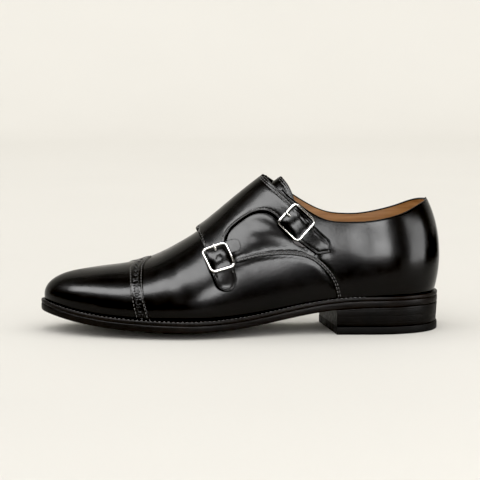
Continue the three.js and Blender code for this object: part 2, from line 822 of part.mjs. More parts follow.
// The prong: out of the strap, over the ring's front bar, its tip bent down past it.
function buckleProng(frame) {
  const bar = -(frame.size - BUCKLE.wire) / 2;
  const rest = FRAME_LIFT + BUCKLE.thickness / 2 + GAP;
  const root = STRAP_FACE + GAP;
  const profile = [
    [bar + 6, root],
    [bar + 6, root + 0.9],
    [bar + 1.4, rest + 1],
    [bar - 1.2, rest + 0.9],
    [bar - 1.2, rest],
    [bar + 1.6, rest],
  ];
  const half = BUCKLE.prongWidth / 2;
  const at = ([tailward, offset], sideward) => frame.centre.clone()
    .addScaledVector(frame.tail, tailward)
    .addScaledVector(frame.beside, sideward)
    .addScaledVector(frame.out, offset);
  const triangles = [];
  const cap = THREE.ShapeUtils.triangulateShape(profile.map(([x, y]) => new THREE.Vector2(x, y)), []);
  cap.forEach(([a, b, c]) => {
    triangles.push([c, b, a].map((k) => at(profile[k], half)));
    triangles.push([a, b, c].map((k) => at(profile[k], -half)));
  });
  profile.forEach((point, k) => {
    const next = profile[(k + 1) % profile.length];
    quad(triangles, at(point, half), at(next, half), at(next, -half), at(point, -half));
  });
  return meshOf(triangles);
}

// ---- assembly ----------------------------------------------------------------------------
const shoe = new THREE.Group();

function addPiece(name, shape, finish) {
  const geometry = shape.isBufferGeometry ? shape : geometryOf(shape);
  const mesh = new THREE.Mesh(geometry, new THREE.MeshStandardMaterial(COLOURS[finish]));
  mesh.name = name;
  shoe.add(mesh);
}

addPiece('upper', upper(), 'leather');
addPiece('toe_cap', toeCap(), 'leather');
addPiece('quarter_outer', quarterOuter(), 'leather');
addPiece('quarter_inner_with_straps', quarterInner(), 'leather');
addPiece('tongue', tongue(), 'leather');
addPiece('insole', insole(), 'lining');
addPiece('welt', welt(), 'edge');
addPiece('outsole', outsole(), 'edge');
addPiece('heel_stack', heelStack(), 'edge');
addPiece('heel_top_piece', heelTopPiece(), 'rubber');
for (const buckle of BUCKLES) {
  const frame = buckleFrame(buckle);
  addPiece(`buckle_frame_${buckle.name}`, buckleRing(frame), 'nickel');
  addPiece(`buckle_prong_${buckle.name}`, buckleProng(frame), 'nickel');
}

export default shoe;
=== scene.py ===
"""The looks of a left double monk strap shoe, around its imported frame.

The tables repeat the shoemaker's measures that shape the frame: "forward" is the distance in
millimetres from the heel's back towards the toe, "across" is positive towards the inner side,
"up" is the height over the floor. A place on the upper is charted by (along, over): along runs
from 0 at the heel's back to 1 at the toe's tip, and over from -1 at the outer feather line,
through 0 on the ridge, to 1 at the inner feather line. "lift" is the distance out of the last.
"""
import math
from itertools import product

import bmesh
import bpy
import numpy as np
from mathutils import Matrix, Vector
from mathutils.geometry import delaunay_2d_cdt
from mathutils.kdtree import KDTree


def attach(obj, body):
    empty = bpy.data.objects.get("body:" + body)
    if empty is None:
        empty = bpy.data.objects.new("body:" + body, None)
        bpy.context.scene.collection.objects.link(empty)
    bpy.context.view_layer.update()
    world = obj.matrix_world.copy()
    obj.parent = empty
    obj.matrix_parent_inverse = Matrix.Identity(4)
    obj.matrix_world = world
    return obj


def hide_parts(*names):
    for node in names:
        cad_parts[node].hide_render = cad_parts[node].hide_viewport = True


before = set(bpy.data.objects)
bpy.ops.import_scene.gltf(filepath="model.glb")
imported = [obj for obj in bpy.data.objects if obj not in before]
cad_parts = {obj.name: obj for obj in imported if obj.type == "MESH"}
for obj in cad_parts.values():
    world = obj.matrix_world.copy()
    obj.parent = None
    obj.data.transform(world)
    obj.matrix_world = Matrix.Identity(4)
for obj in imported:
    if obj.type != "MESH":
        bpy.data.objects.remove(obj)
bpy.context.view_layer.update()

# ---- the shoe's measures, in millimetres ----
MM = 0.001
WELD = 0.004
HEEL_CENTRE = 42
OUTER, INNER = -1, 1
SMALL = 1e-3

FEATHER = (
    ("heel back", 5.7, 3),
    ("heel back outer", 12.5, -17),
    ("heel outer", 38, -31),
    ("seat outer", 76, -31),
    ("waist outer", 112, -32),
    ("waist front outer", 148, -38.5),
    ("ball outer", 186, -46),
    ("forefoot outer", 222, -42.5),
    ("toe outer", 256, -32.5),
    ("toe corner outer", 285, -16),
    ("toe tip", 299.8, 6.5),
    ("toe corner inner", 288, 26.5),
    ("toe inner", 262, 38),
    ("forefoot inner", 234, 43.5),
    ("ball inner", 208, 45),
    ("waist front inner", 166, 35.5),
    ("waist inner", 124, 24.5),
    ("seat inner", 84, 25.5),
    ("heel inner", 44, 31.5),
    ("heel back inner", 13.5, 22.5),
)
TOE_TIP = [row[0] for row in FEATHER].index("toe tip")
# forward, up, belly
SOLE_RISE = (
    (0, 29.2, 0),
    (40, 28.8, 0),
    (76, 27.6, 0),
    (106, 23.6, 0.9),
    (144, 16.8, 3.4),
    (182, 13.6, 6),
    (220, 13.9, 6.2),
    (258, 16.2, 3.6),
    (286, 20.4, 1.2),
    (300, 23.4, 0.4),
)
# forward, across, up
RIDGE = (
    (34, 1, 119),
    (62, 1.5, 126),
    (92, 2, 129.5),
    (116, 2, 126),
    (134, 1.5, 115.2),
    (160, 1, 94.8),
    (185, 0, 75),
    (200, 0, 65.7),
    (215, 0.5, 57.3),
    (230, 1.2, 51.6),
    (250, 2.6, 48.2),
    (270, 4.5, 45.6),
)
# forward, bulge outer, bulge inner, rise outer, rise inner, crown outer, crown inner
WALL_SECTION = (
    (5.7, 11.5, 11.5, 0.42, 0.42, 0.86, 0.86),
    (40, 8, 7, 0.42, 0.42, 0.86, 0.86),
    (80, 5, 4.5, 0.4, 0.42, 0.72, 0.74),
    (115, 4.6, 3.4, 0.35, 0.38, 0.68, 0.72),
    (150, 5, 4.4, 0.36, 0.38, 0.66, 0.7),
    (188, 6, 5.2, 0.4, 0.42, 0.6, 0.64),
    (225, 5.4, 5.2, 0.46, 0.48, 0.62, 0.66),
    (260, 4.4, 4.6, 0.52, 0.54, 0.71, 0.73),
    (299.5, 3, 3, 0.54, 0.54, 0.7, 0.7),
)
# forward, outer, inner
SOLE_MARGIN = (
    (0, 3.8, 3.8),
    (76, 3.8, 3.6),
    (120, 3.6, 3),
    (186, 5.8, 4.6),
    (254, 4.8, 4.6),
    (303, 4, 4),
)
# Edges as seen from the side: forward, up.
COLLAR_BACK = ((8, 98.6), (14.5, 97.3), (29.5, 91.3), (45, 86.8))
COLLAR_INNER = COLLAR_BACK + (
    (60, 84.6), (72, 84.8), (84, 86.5), (98, 92.3), (113.5, 102), (135.8, 117.8),
)
COLLAR_OUTER = COLLAR_BACK + (
    (60, 84.4), (72, 83.9), (84, 84.2), (91, 85.6), (98, 88.6), (105, 92.8), (113.5, 99),
    (121, 105.6), (128, 111.6), (135.8, 117.8),
)
VAMP_SEAM = (
    (82.4, 26.3), (84.9, 36.6), (91.9, 48.2), (100.7, 55.8), (114.3, 59.8), (128.9, 60.1),
    (144.1, 58.6), (158.3, 55.5),
)
FACING_OUTER = (
    (168.9, 57.1), (172.9, 64), (167.9, 75), (151.1, 93.8), (135.2, 104.7), (122.3, 107.8),
)
FLAP_FRONT = ((186.5, 76.6), (182.1, 66.5), (179.1, 57.1), (177.3, 48.2))
LOWER_TAIL_FRONT = ((177.3, 48.2), (175.6, 44.9), (173.9, 40.3), (171.2, 36.8))
LOWER_TAIL_TIP = ((171.2, 36.8), (167.9, 35.4), (164.8, 35), (162.5, 35.3))
ARCH = (
    (162.5, 35.3), (159.5, 38.7), (158.1, 42.5), (158.7, 47.9), (160.3, 53.2), (162.9, 60.1),
    (166.2, 68.5), (165.6, 75), (156.5, 84.9), (147.1, 90.6), (139.2, 92.6), (132.6, 91.5),
    (126.3, 86.4), (119.1, 77.6), (107.4, 66.9), (97.7, 60.1),
)
UPPER_TAIL_END = ((97.7, 60.1), (87.6, 61.6))
UPPER_TAIL_BACK = ((87.6, 61.6), (87.2, 67), (88.5, 71.5))
FLAP_TOP = (
    (88.5, 71.5), (96.8, 79.1), (105.4, 87.7), (113.4, 96.8), (120.6, 103.9), (131.2, 113.2),
    (135.8, 117.8),
)
CAP_SEAM = (
    (222.6, 14.4), (226.2, 26.6), (227.3, 35.5), (227.4, 45.4), (226.5, 52.8),
)
BAND_FRONT = ((232.1, 12.5), (235.5, 26.5), (236.8, 35.5), (237.3, 44.8), (237.1, 51))
HEEL_BREAST = (83, 90)
BUCKLES = {
    "lower": {"size": 20, "place": (171.2, 58), "run": (-6.2, -15.4)},
    "upper": {"size": 22.2, "place": (113.1, 83.4), "run": (-15.7, -14.4)},
}
WALL = 2.4
FLAP_FACE = 3.2
QUARTER_FACE = 1.3
CAP_FACE = 1.2
TONGUE = 2
WELT = 2.7
WELT_INWARD = 6
OUTSOLE = 5
TOP_PIECE = 6
GAP = 0.3
BUCKLE_WIRE = 2.1
BUCKLE_THICKNESS = 1.7


# ---- curves ----
def spline(rows):
    """A natural cubic spline through rows (knot, values...), straight past its ends."""
    rows = np.array(rows, float)
    knots, values = rows[:, 0], rows[:, 1:]
    steps = np.diff(knots)
    slopes = np.diff(values, axis=0) / steps[:, None]
    system = np.eye(len(knots))
    jumps = np.zeros_like(values)
    for i in range(1, len(knots) - 1):
        system[i, i - 1:i + 2] = steps[i - 1], 2 * (steps[i - 1] + steps[i]), steps[i]
        jumps[i] = 6 * (slopes[i] - slopes[i - 1])
    bends = np.linalg.solve(system, jumps)

    def value(at):
        at = np.asarray(at, float)
        i = np.clip(np.searchsorted(knots, at) - 1, 0, len(knots) - 2)
        step = steps[i][..., None]
        run = (at - knots[i])[..., None]
        inside = np.clip(run, 0, step)
        lean = slopes[i] - step * (2 * bends[i] + bends[i + 1]) / 6
        curl = (bends[i + 1] - bends[i]) / step
        here = values[i] + inside * (lean + inside * (bends[i] / 2 + inside * curl / 6))
        return here + (run - inside) * (lean + inside * (bends[i] + inside * curl / 2))

    return value


def by_distance(points, power=1.0):
    points = np.array(points, float)
    run = np.linalg.norm(np.diff(points, axis=0), axis=1) ** power
    return np.column_stack([np.concatenate([[0], np.cumsum(run)]), points])


def smooth_run(points, step):
    """Points about "step" apart on the smooth curve through the given ones."""
    rows = by_distance(points)
    count = max(1, round(rows[-1, 0] / step))
    return spline(rows)(np.linspace(0, rows[-1, 0], count + 1))


def read_at(at, run, line):
    """The line's points at distances along it, where run holds the distances of its own."""
    return np.stack([np.interp(at, run, column) for column in line.T], -1)


def resample(line, step):
    """The same polyline with points "step" apart, measured in its own units."""
    run = by_distance(line)[:, 0]
    return read_at(np.linspace(0, run[-1], max(2, round(run[-1] / step)) + 1), run, line)


def smoothstep(x, low, high):
    t = np.clip((np.asarray(x, float) - low) / (high - low), 0, 1)
    return t * t * (3 - 2 * t)


# ---- the last's surface ----
WRAP, TURN = 5, 0.9
plan = [row[1:] for row in FEATHER]
wrapped = by_distance(plan[-WRAP:] + plan + plan[:WRAP + 1], TURN)
outline_curve = spline(wrapped)
AT_HEEL, AT_TOE, AT_END = (wrapped[WRAP + i, 0] for i in (0, TOE_TIP, len(FEATHER)))
sole_rise, ridge, wall_section, sole_margin = map(
    spline, (SOLE_RISE, RIDGE, WALL_SECTION, SOLE_MARGIN)
)


def feather(along, side):
    """Forward and across on the feather line, and the plan direction out of the shoe."""
    along, side = np.broadcast_arrays(np.asarray(along, float), side)
    outer_at = AT_HEEL + along * (AT_TOE - AT_HEEL)
    at = np.where(side < 0, outer_at, AT_END + along * (AT_TOE - AT_END))
    run = outline_curve(at + SMALL) - outline_curve(at - SMALL)
    run /= np.linalg.norm(run, axis=-1, keepdims=True)
    return outline_curve(at), np.stack([run[..., 1], -run[..., 0]], -1)


def last_point(along, up, side):
    """A point of the last; up runs from 0 at the feather line to 1 at the ridge."""
    foot, out = feather(along, side)
    opposite, _ = feather(along, -side)
    middle = (foot[..., 0] + opposite[..., 0]) / 2
    share = (middle - plan[0][0]) / (plan[TOE_TIP][0] - plan[0][0])
    at = RIDGE[0][0] + share * (RIDGE[-1][0] - RIDGE[0][0])
    end = np.concatenate([at[..., None], ridge(at)], -1)
    slope = (ridge(at + 0.5) - ridge(at - 0.5))[..., 1]
    section = wall_section(foot[..., 0])
    outer = np.asarray(side) < 0
    bulge, rise, crown = (np.where(outer, section[..., k], section[..., k + 1]) for k in (0, 2, 4))
    start = np.concatenate([foot, sole_rise(foot[..., 0])[..., :1]], -1)
    lean = start + np.stack(
        [out[..., 0] * bulge, out[..., 1] * bulge, rise * (end - start)[..., 2]], -1
    )
    inward = (start - end) * crown[..., None]
    level = end + np.stack([inward[..., 0], inward[..., 1], slope * inward[..., 0]], -1)
    t = np.asarray(up, float)[..., None]
    s = 1 - t
    return s ** 3 * start + 3 * s * s * t * lean + 3 * s * t * t * level + t ** 3 * end


def at_tip(along):
    """True where the two sides' feather lines meet, at the heel's back and the toe's tip."""
    return (along <= 0) | (along >= 1)


def wall_with_normal(along, over, lift=0.0):
    """Points and outward normals at charted places, in the shoemaker's measures."""
    along, over, lift = np.broadcast_arrays(*(np.asarray(v, float) for v in (along, over, lift)))
    side = np.where((over <= 0) | at_tip(along), OUTER, INNER)
    up = 1 - np.abs(over)
    point = last_point(along, up, side)
    ahead = last_point(np.minimum(along + SMALL, 1), up, side)
    behind = last_point(np.maximum(along - SMALL, 0), up, side)
    rise = last_point(along, up + SMALL, side) - last_point(along, up - SMALL, side)
    normal = np.cross(ahead - behind, rise) * -side[..., None]
    normal /= np.linalg.norm(normal, axis=-1, keepdims=True)
    return point + normal * lift[..., None], normal


def wall(along, over, lift=0.0):
    return wall_with_normal(along, over, lift)[0]


def settle(at, side, wanted, measure, lift=0.0):
    """Moves charted places (along, up) by Newton steps until their points measure as wanted."""
    def seen_from(at):
        return measure(wall(at[:, 0], (1 - at[:, 1]) * side, lift))

    for _ in range(9):
        here = seen_from(at)
        # Steps stay inside the chart, because a step over the ridge would come down again.
        steps = np.where(at > 0.5, -SMALL, SMALL)
        slopes = [(seen_from(at + steps * axis) - here) / (steps @ axis)[:, None]
                  for axis in np.eye(2)]
        jacobian = np.stack(slopes, -1)
        turned = jacobian.transpose(0, 2, 1)
        damped = turned @ jacobian + 4 * np.eye(2)
        step = np.linalg.solve(damped, turned @ (wanted - here)[..., None])[..., 0]
        at = np.clip(at + np.clip(step, -0.05, 0.05), 0, 1)
    return np.column_stack([at[:, 0], (1 - at[:, 1]) * side])


# Places all over one side's chart (along, up), where the search for a place starts.
SPREAD = np.stack(np.meshgrid(np.linspace(0, 1, 101), np.linspace(0, 1, 51)), -1).reshape(-1, 2)
SPREAD_SEEN = {
    side: wall(SPREAD[:, 0], (1 - SPREAD[:, 1]) * side)[:, [0, 2]] for side in (OUTER, INNER)
}


def chart_of(points, side, lift=0.0):
    """The charted places of points seen from the side (forward, up), on one side."""
    points = np.array(points, float)
    nearest = ((points[:, None] - SPREAD_SEEN[side]) ** 2).sum(-1).argmin(1)
    return settle(SPREAD[nearest], side, points, lambda point: point[:, [0, 2]], lift)


def last_bottom(forward, place):
    """Height of the last's bottom: level with the feather line at the edges, lower between."""
    up, belly = np.moveaxis(sole_rise(forward), -1, 0)
    return up - np.maximum(belly, 0) * np.maximum(0, 4 * place * (1 - place))


def to_frame(points):
    """From the shoemaker's measures to the frame, in metres: forward is -X."""
    points = np.asarray(points, float)
    return np.stack([HEEL_CENTRE - points[..., 0], points[..., 1], points[..., 2]], -1) * MM


# ---- lines on the upper ----
FOOT = 1.006  # just below the feather line, so that no light comes in at the welt
LINE_STEP = 1.1
SAME_PLACE = 1e-4


def seen(side, points, lift=0.0):
    """A charted line through points seen from the side."""
    return chart_of(smooth_run(points, LINE_STEP), side, lift)


def straight(start, end):
    """A charted line straight over the chart."""
    def line(count):
        return np.array(start) + np.subtract(end, start) * np.linspace(0, 1, count)[:, None]

    length = by_distance(wall(*line(200).T))[-1, 0]
    return line(max(2, round(length / LINE_STEP)) + 1)


def joined(**stretches):
    """A closed outline of lines and corners, which runs straight where two of them don't meet."""
    lines = [np.atleast_2d(line) for line in stretches.values()]
    places, spans = [], []
    for line, after in zip(lines, lines[1:] + lines[:1]):
        spans.append(len(places) + np.arange(len(line)))
        places += list(line[:-1])
        if not np.allclose(line[-1], after[0], atol=SAME_PLACE):
            places += list(straight(line[-1], after[0])[:-1])
    places = np.array(places)
    return places, {name: places[span % len(places)] for name, span in zip(stretches, spans)}


def chart_axes(places):
    """How the surface moves, in millimetres, per unit of along and of over."""
    along, over = places[:, 0], places[:, 1]
    inward = np.where(along > 0.5, -SMALL, SMALL)
    toward = np.where(over > 0, -SMALL, SMALL)
    here = wall(along, over)
    by_along = (wall(along + inward, over) - here) / inward[:, None]
    by_over = (wall(along, over + toward) - here) / toward[:, None]
    return here, by_along, by_over


def beside(line, distance):
    """The line moved sideways over the surface."""
    here, by_along, by_over = chart_axes(line)
    run = np.gradient(here, axis=0)
    _, normal = wall_with_normal(*line.T)
    left = np.cross(run, normal)
    left /= np.maximum(np.linalg.norm(left, axis=1, keepdims=True), 1e-9)
    axes = np.stack([by_along, by_over], -1)
    turned = axes.transpose(0, 2, 1)
    step = np.linalg.solve(turned @ axes + np.eye(2) * 1e-3, turned @ left[..., None])[..., 0]
    return line + step * distance


def tree_of(points):
    tree = KDTree(len(points))
    for i, point in enumerate(points):
        tree.insert(point, i)
    tree.balance()
    return tree


def tree_along(lines, step=0.2):
    return tree_of(np.concatenate([resample(wall(*line.T), step) for line in lines]))


def away_from(tree, points):
    return np.array([tree.find(point)[2] for point in points])


def inside_polygon(points, polygon):
    inside = np.zeros(len(points), bool)
    x, y = points[:, 0], points[:, 1]
    for (x1, y1), (x2, y2) in zip(polygon, np.roll(polygon, -1, 0)):
        if y1 != y2:
            crosses = (y1 > y) != (y2 > y)
            inside ^= crosses & (x < (x2 - x1) * (y - y1) / (y2 - y1) + x1)
    return inside


# ---- making pieces ----
def add_object(name, data):
    made = bpy.data.objects.new(name, data)
    bpy.context.scene.collection.objects.link(made)
    return made


def add_piece(name, points, faces, material, replaces=(), outward=None, weld=True):
    """A smooth mesh piece, facing along "outward" at its points, or closed and facing out."""
    mesh = bpy.data.meshes.new(name)
    mesh.from_pydata(to_frame(points).tolist(), [], [tuple(map(int, face)) for face in faces])
    edit = bmesh.new()
    edit.from_mesh(mesh)
    if outward is not None:
        looks = outward * [-1, 1, 1]
        turned = [f for f in edit.faces if f.normal.dot(looks[f.verts[0].index]) < 0]
        bmesh.ops.reverse_faces(edit, faces=turned)
    if weld:
        bmesh.ops.remove_doubles(edit, verts=edit.verts, dist=WELD * MM)
    if outward is None:
        bmesh.ops.recalc_face_normals(edit, faces=edit.faces)
    edit.to_mesh(mesh)
    edit.free()
    mesh.shade_smooth()
    mesh.materials.append(material)
    piece = add_object(name, mesh)
    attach(piece, "root")
    if replaces:
        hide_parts(*replaces)
    return piece


def grid_faces(rows, columns, close_rows=False, close_columns=False, first=0):
    """Quads over a grid of points stored row by row."""
    at = first + np.arange(rows * columns).reshape(rows, columns)
    if close_rows:
        at = np.concatenate([at, at[:1]])
    if close_columns:
        at = np.concatenate([at, at[:, :1]], 1)
    corners = at[:-1, :-1], at[:-1, 1:], at[1:, 1:], at[1:, :-1]
    return np.stack(corners, -1).reshape(-1, 4).tolist()


def tube_faces(rings, sides, first=0):
    """The faces of a tube with closed ends."""
    last = first + (rings - 1) * sides
    ends = [range(first, first + sides), range(last + sides - 1, last - 1, -1)]
    return grid_faces(rings, sides, close_columns=True, first=first) + ends


def add_tube(name, loops, material, replaces=()):
    faces = tube_faces(len(loops), len(loops[0]))
    add_piece(name, np.concatenate(loops), faces, material, replaces)


def lift_at(lift, places):
    """A lift is a number, or a function of the charted place."""
    return lift(*places.T) if callable(lift) else np.full(len(places), float(lift))


# The chart is about this many millimetres long and wide, which keeps its triangles even.
CHART = np.array([300.0, 105.0])
EDGE_RINGS = (0.1, 0.3, 0.55, 0.85, 1.25)
GROOVE_ASIDE = 0.45
GROOVE_DEPTH = 0.28
GROOVE_WIDTH = 0.5
PIT_RINGS = (0.5, 0.86, 1.0, 1.3)


def pit_circles(pits):
    """Charted circles in and round each pit. A pit is (along, over, radius, depth)."""
    centres = np.array(pits)[:, :2]
    lengths = np.stack([np.linalg.norm(axis, axis=1) for axis in chart_axes(centres)[1:]], -1)
    circles = []
    for centre, length, (_, _, radius, _) in zip(centres, lengths, pits):
        turns = np.linspace(0, 2 * np.pi, 14 if radius > 0.7 else 8, endpoint=False)
        circle = np.column_stack([np.cos(turns), np.sin(turns)]) * radius / length
        circles += [centre + circle * share for share in PIT_RINGS]
    return circles


def chart_points(places, rounded, away_of, edge, grain, grooves):
    """Points over a panel's chart: rings along rounded edges, grooves, and an even field."""
    loose = [np.empty((0, 2))]
    for stretch, reach, hand in product(rounded, EDGE_RINGS, (-1, 1)):
        line = beside(stretch, hand * reach * edge)
        line = line[inside_polygon(line, places)]
        if len(line):
            loose.append(line[away_of(line) > 0.93 * reach * edge])
    loose = np.concatenate(loose)
    step = grain / CHART
    low, high = places.min(0), places.max(0)
    counts = np.ceil((high - low) / step).astype(int) + 1
    columns, rows = np.meshgrid(np.arange(counts[0]), np.arange(counts[1]))
    shift = 0.5 * (rows % 2)
    field = low + np.column_stack([(columns + shift).ravel(), rows.ravel()]) * step
    field = field[inside_polygon(field, places)]
    # Near a plain stretch the field keeps off the outline in the chart itself.
    outline_tree = tree_of(np.column_stack([places * CHART, np.zeros(len(places))]))
    flat = np.column_stack([field * CHART, np.zeros(len(field))])
    field = field[away_from(outline_tree, flat) > 0.5 * grain]
    field = field[away_of(field) > EDGE_RINGS[-1] * edge + 0.35 * grain]
    if grooves:
        grooves = np.concatenate(grooves)
        grooves = grooves[inside_polygon(grooves, places)]
        grooves = grooves[away_of(grooves) > 0.15]
        near_groove = tree_of(wall(*grooves.T))
        if len(loose):
            loose = loose[away_from(near_groove, wall(*loose.T)) > 0.3]
        field = field[away_from(near_groove, wall(*field.T)) > 0.42 * grain]
        loose = np.concatenate([loose, grooves])
    return np.concatenate([places, loose, field])


def chart_triangles(points, places):
    """Triangles over the chart inside the outline, and which points came from the outline."""
    ring = [(i, (i + 1) % len(places)) for i in range(len(places))]
    scaled = [Vector(point) for point in points * CHART]
    verts, _, triangles, origins, _, _ = delaunay_2d_cdt(scaled, ring, [], 0, 1e-5)
    verts = np.array([tuple(v) for v in verts]) / CHART
    triangles = np.array([tuple(t) for t in triangles])
    triangles = triangles[inside_polygon(verts[triangles].mean(1), places)]
    used = np.unique(triangles)
    renumber = np.full(len(verts), -1)
    renumber[used] = np.arange(len(used))
    on_outline = np.array([any(k < len(places) for k in origins[i]) for i in used])
    return verts[used], renumber[triangles], on_outline


def panel(name, outline, rounded, under, face, material=None, edge=0.8,
          grain=1.7, lines=(), pits=(), relief=None, solid=False, replaces=()):
    """Leather laid over the last between two lifts, with stitch grooves and punched pits.

    Returns its stitch rows, each a charted line and the lift of the leather under it.
    """
    places, parts = outline
    material = material or BLACK_CALF
    rounded = [parts[key] for key in rounded]
    border = tree_along(rounded) if rounded else None

    def away_of(chart):
        return away_from(border, wall(*chart.T)) if border else np.full(len(chart), 99.0)

    grooves = [beside(line, aside) for line in lines for aside in (-GROOVE_ASIDE, 0, GROOVE_ASIDE)]
    grooves += pit_circles(pits) if pits else []
    every = chart_points(places, rounded, away_of, edge, grain, grooves)
    verts, triangles, on_outline = chart_triangles(every, places)
    base, normals = wall_with_normal(*verts.T)
    rounding = np.sqrt(1 - (1 - np.clip(away_of(verts) / edge, 0, 1)) ** 2)
    bottom, top = lift_at(under, verts), lift_at(face, verts)
    if relief:
        top = top + relief(verts, base)
    for line in lines:
        gap = away_from(tree_along([line]), base)
        top = top - GROOVE_DEPTH * np.exp(-(gap / GROOVE_WIDTH) ** 2)
    if pits:
        pit_tree = tree_of(wall(*np.array(pits)[:, :2].T))
        found = [pit_tree.find(point) for point in base]
        radius, depth = np.array(pits)[[hit[1] for hit in found], 2:].T
        share = np.array([hit[2] for hit in found]) / radius
        top = top - depth * (1 - smoothstep(share, 0.84, 1.03))
    lift = bottom + (top - bottom) * rounding
    points = base + normals * lift[:, None]
    if solid:
        inner = np.where(~on_outline)[0]
        lower = np.arange(len(verts))
        lower[inner] = len(verts) + np.arange(len(inner))
        sunk = base[inner] + normals[inner] * bottom[inner, None]
        points = np.concatenate([points, sunk])
        faces = np.concatenate([triangles, lower[triangles[:, ::-1]]])
        add_piece(name, points, faces, material, replaces, weld=False)
    else:
        add_piece(name, points, triangles, material, replaces, normals)
    return [(line, face) for line in lines]


# ---- materials ----
SOCKETS = {"specular": "Specular IOR Level", "ior": "IOR"}


class Material:
    """A principled material. Its sockets take plain values or what other nodes put out."""

    def __init__(self, name, **values):
        self.data = bpy.data.materials.new(name)
        self.data.use_nodes = True
        self.tree = self.data.node_tree
        self.set(**values)

    def set(self, **values):
        shader = self.tree.nodes["Principled BSDF"]
        for key, value in values.items():
            self.put(shader.inputs[SOCKETS.get(key, key.replace("_", " ").title())], value)
        return self.data

    def put(self, socket, value):
        if isinstance(value, bpy.types.NodeSocket):
            self.tree.links.new(value, socket)
        else:
            socket.default_value = value

    def node(self, kind, inputs, **settings):
        made = self.tree.nodes.new(kind)
        for key, value in settings.items():
            setattr(made, key, value)
        for key, value in inputs.items():
            self.put(made.inputs[key], value)
        return made.outputs

    def noise(self, size_mm, detail=2.0, squeeze=(1, 1, 1)):
        """Noise whose cells are about size_mm across, in the object's own space."""
        place = self.node("ShaderNodeTexCoord", {})["Object"]
        place = self.node("ShaderNodeMapping", {"Vector": place, "Scale": squeeze})["Vector"]
        inputs = {"Vector": place, "Scale": 1 / (size_mm * MM), "Detail": detail}
        return self.node("ShaderNodeTexNoise", inputs)["Fac"]

    def pores(self, size_mm):
        place = self.node("ShaderNodeTexCoord", {})["Object"]
        inputs = {"Vector": place, "Scale": 1 / (size_mm * MM)}
        return self.node("ShaderNodeTexVoronoi", inputs, feature="SMOOTH_F1")["Distance"]

    def spread(self, value, low, high, from_low=0.3, from_high=0.7):
        return self.node("ShaderNodeMapRange", {
            "Value": value, "From Min": from_low, "From Max": from_high, "To Min": low,
            "To Max": high,
        })["Result"]

    def clouds(self, value, first, second, *span):
        share = self.spread(value, 0, 1, *span)
        inputs = {0: share, 6: (*first, 1), 7: (*second, 1)}
        return self.node("ShaderNodeMix", inputs, data_type="RGBA")[2]

    def rough(self, height, depth_mm, before=None):
        inputs = {"Height": height, "Distance": depth_mm * MM, "Strength": 1.0}
        if before is not None:
            inputs["Normal"] = before
        return self.node("ShaderNodeBump", inputs)["Normal"]


def leather(made, colours, clouds, roughness, polish, normal):
    """Clouds of two colours and an uneven polish, over bumps; both noises as (mm, detail)."""
    low, high = roughness
    return made.set(base_color=made.clouds(made.noise(*clouds), *colours),
                    roughness=made.spread(made.noise(*polish), low, high), normal=normal)


def calf(name, colours, roughness, specular):
    """Polished box calf: fine pores, a wax coat, and browner where it is burnished."""
    made = Material(name, specular=specular, coat_weight=specular * 0.8, coat_roughness=0.14,
                    ior=1.5)
    grain = made.rough(made.noise(1.7), 0.028, made.rough(made.noise(5), 0.03))
    made.set(coat_normal=grain)
    pores = made.rough(made.pores(0.55), 0.014, grain)
    return leather(made, colours, (26, 3), roughness, (9, 3), pores)


def plain_leather(name, colours, roughness, specular, pore_mm=0.8, depth=0.04,
                  squeeze=(1, 1, 1)):
    made = Material(name, specular=specular)
    bumps = made.rough(made.noise(7, 3), 0.15, made.rough(made.pores(pore_mm), depth))
    return leather(made, colours, (14, 4, squeeze), roughness, (6, 3), bumps)


def layered(name, colours, roughness, layer_mm):
    """Waxed edge of stacked leather: faint lines one lift apart, with fine fibre."""
    made = Material(name, specular=0.06, coat_weight=0.02, coat_roughness=0.25)
    waves = made.node("ShaderNodeTexWave", {
        "Vector": made.node("ShaderNodeTexCoord", {})["Object"],
        "Scale": 0.314 / (layer_mm * MM), "Distortion": 0.6, "Detail": 2.0, "Detail Scale": 1.5,
    }, wave_type="BANDS", bands_direction="Z")["Fac"]
    fibre = made.rough(made.noise(0.5, 3), 0.03)
    bumps = made.rough(made.spread(waves, 0, 1, 0.0, 0.12), 0.05, fibre)
    return leather(made, colours, (11, 4), roughness, (3, 4), bumps)


def nickel():
    made = Material("polished_nickel", base_color=(0.38, 0.37, 0.355, 1), metallic=1.0)
    return made.set(roughness=made.spread(made.noise(2.5, 4), 0.06, 0.14),
                    normal=made.rough(made.noise(1.2, 3), 0.006))


def thread_material(name, colour):
    made = Material(name, base_color=(*colour, 1), roughness=0.38, specular=0.45,
                    sheen_weight=0.05)
    return made.set(normal=made.rough(made.noise(0.18), 0.03))


def floor_material():
    made = Material("pale_floor", specular=0.2, roughness=0.8)
    clouds = made.clouds(made.noise(300), (0.64, 0.622, 0.578), (0.66, 0.642, 0.598), 0, 1)
    return made.set(base_color=clouds)


# Colours are pairs: most of the leather, and its patches.
CALF = ((0.0010, 0.0009, 0.0008), (0.0022, 0.0016, 0.0012))
STRAP = ((0.0018, 0.0017, 0.0012), (0.0040, 0.0036, 0.0022))
TAN = ((0.27, 0.115, 0.032), (0.46, 0.235, 0.085))
SOCK_TAN = ((0.25, 0.12, 0.05), (0.34, 0.17, 0.075))
DARK_BROWN = ((0.006, 0.0032, 0.0026), (0.012, 0.006, 0.0045))
WAXED_SOLE = ((0.0021, 0.0018, 0.0016), (0.006, 0.0040, 0.0030))
WAXED_HEEL = ((0.0020, 0.0018, 0.0016), (0.0036, 0.0028, 0.0022))
WELT_BLACK = ((0.0022, 0.0018, 0.0015), (0.007, 0.0045, 0.0033))
RUBBER_BLACK = ((0.0022, 0.0021, 0.0020), (0.0038, 0.0034, 0.0030))

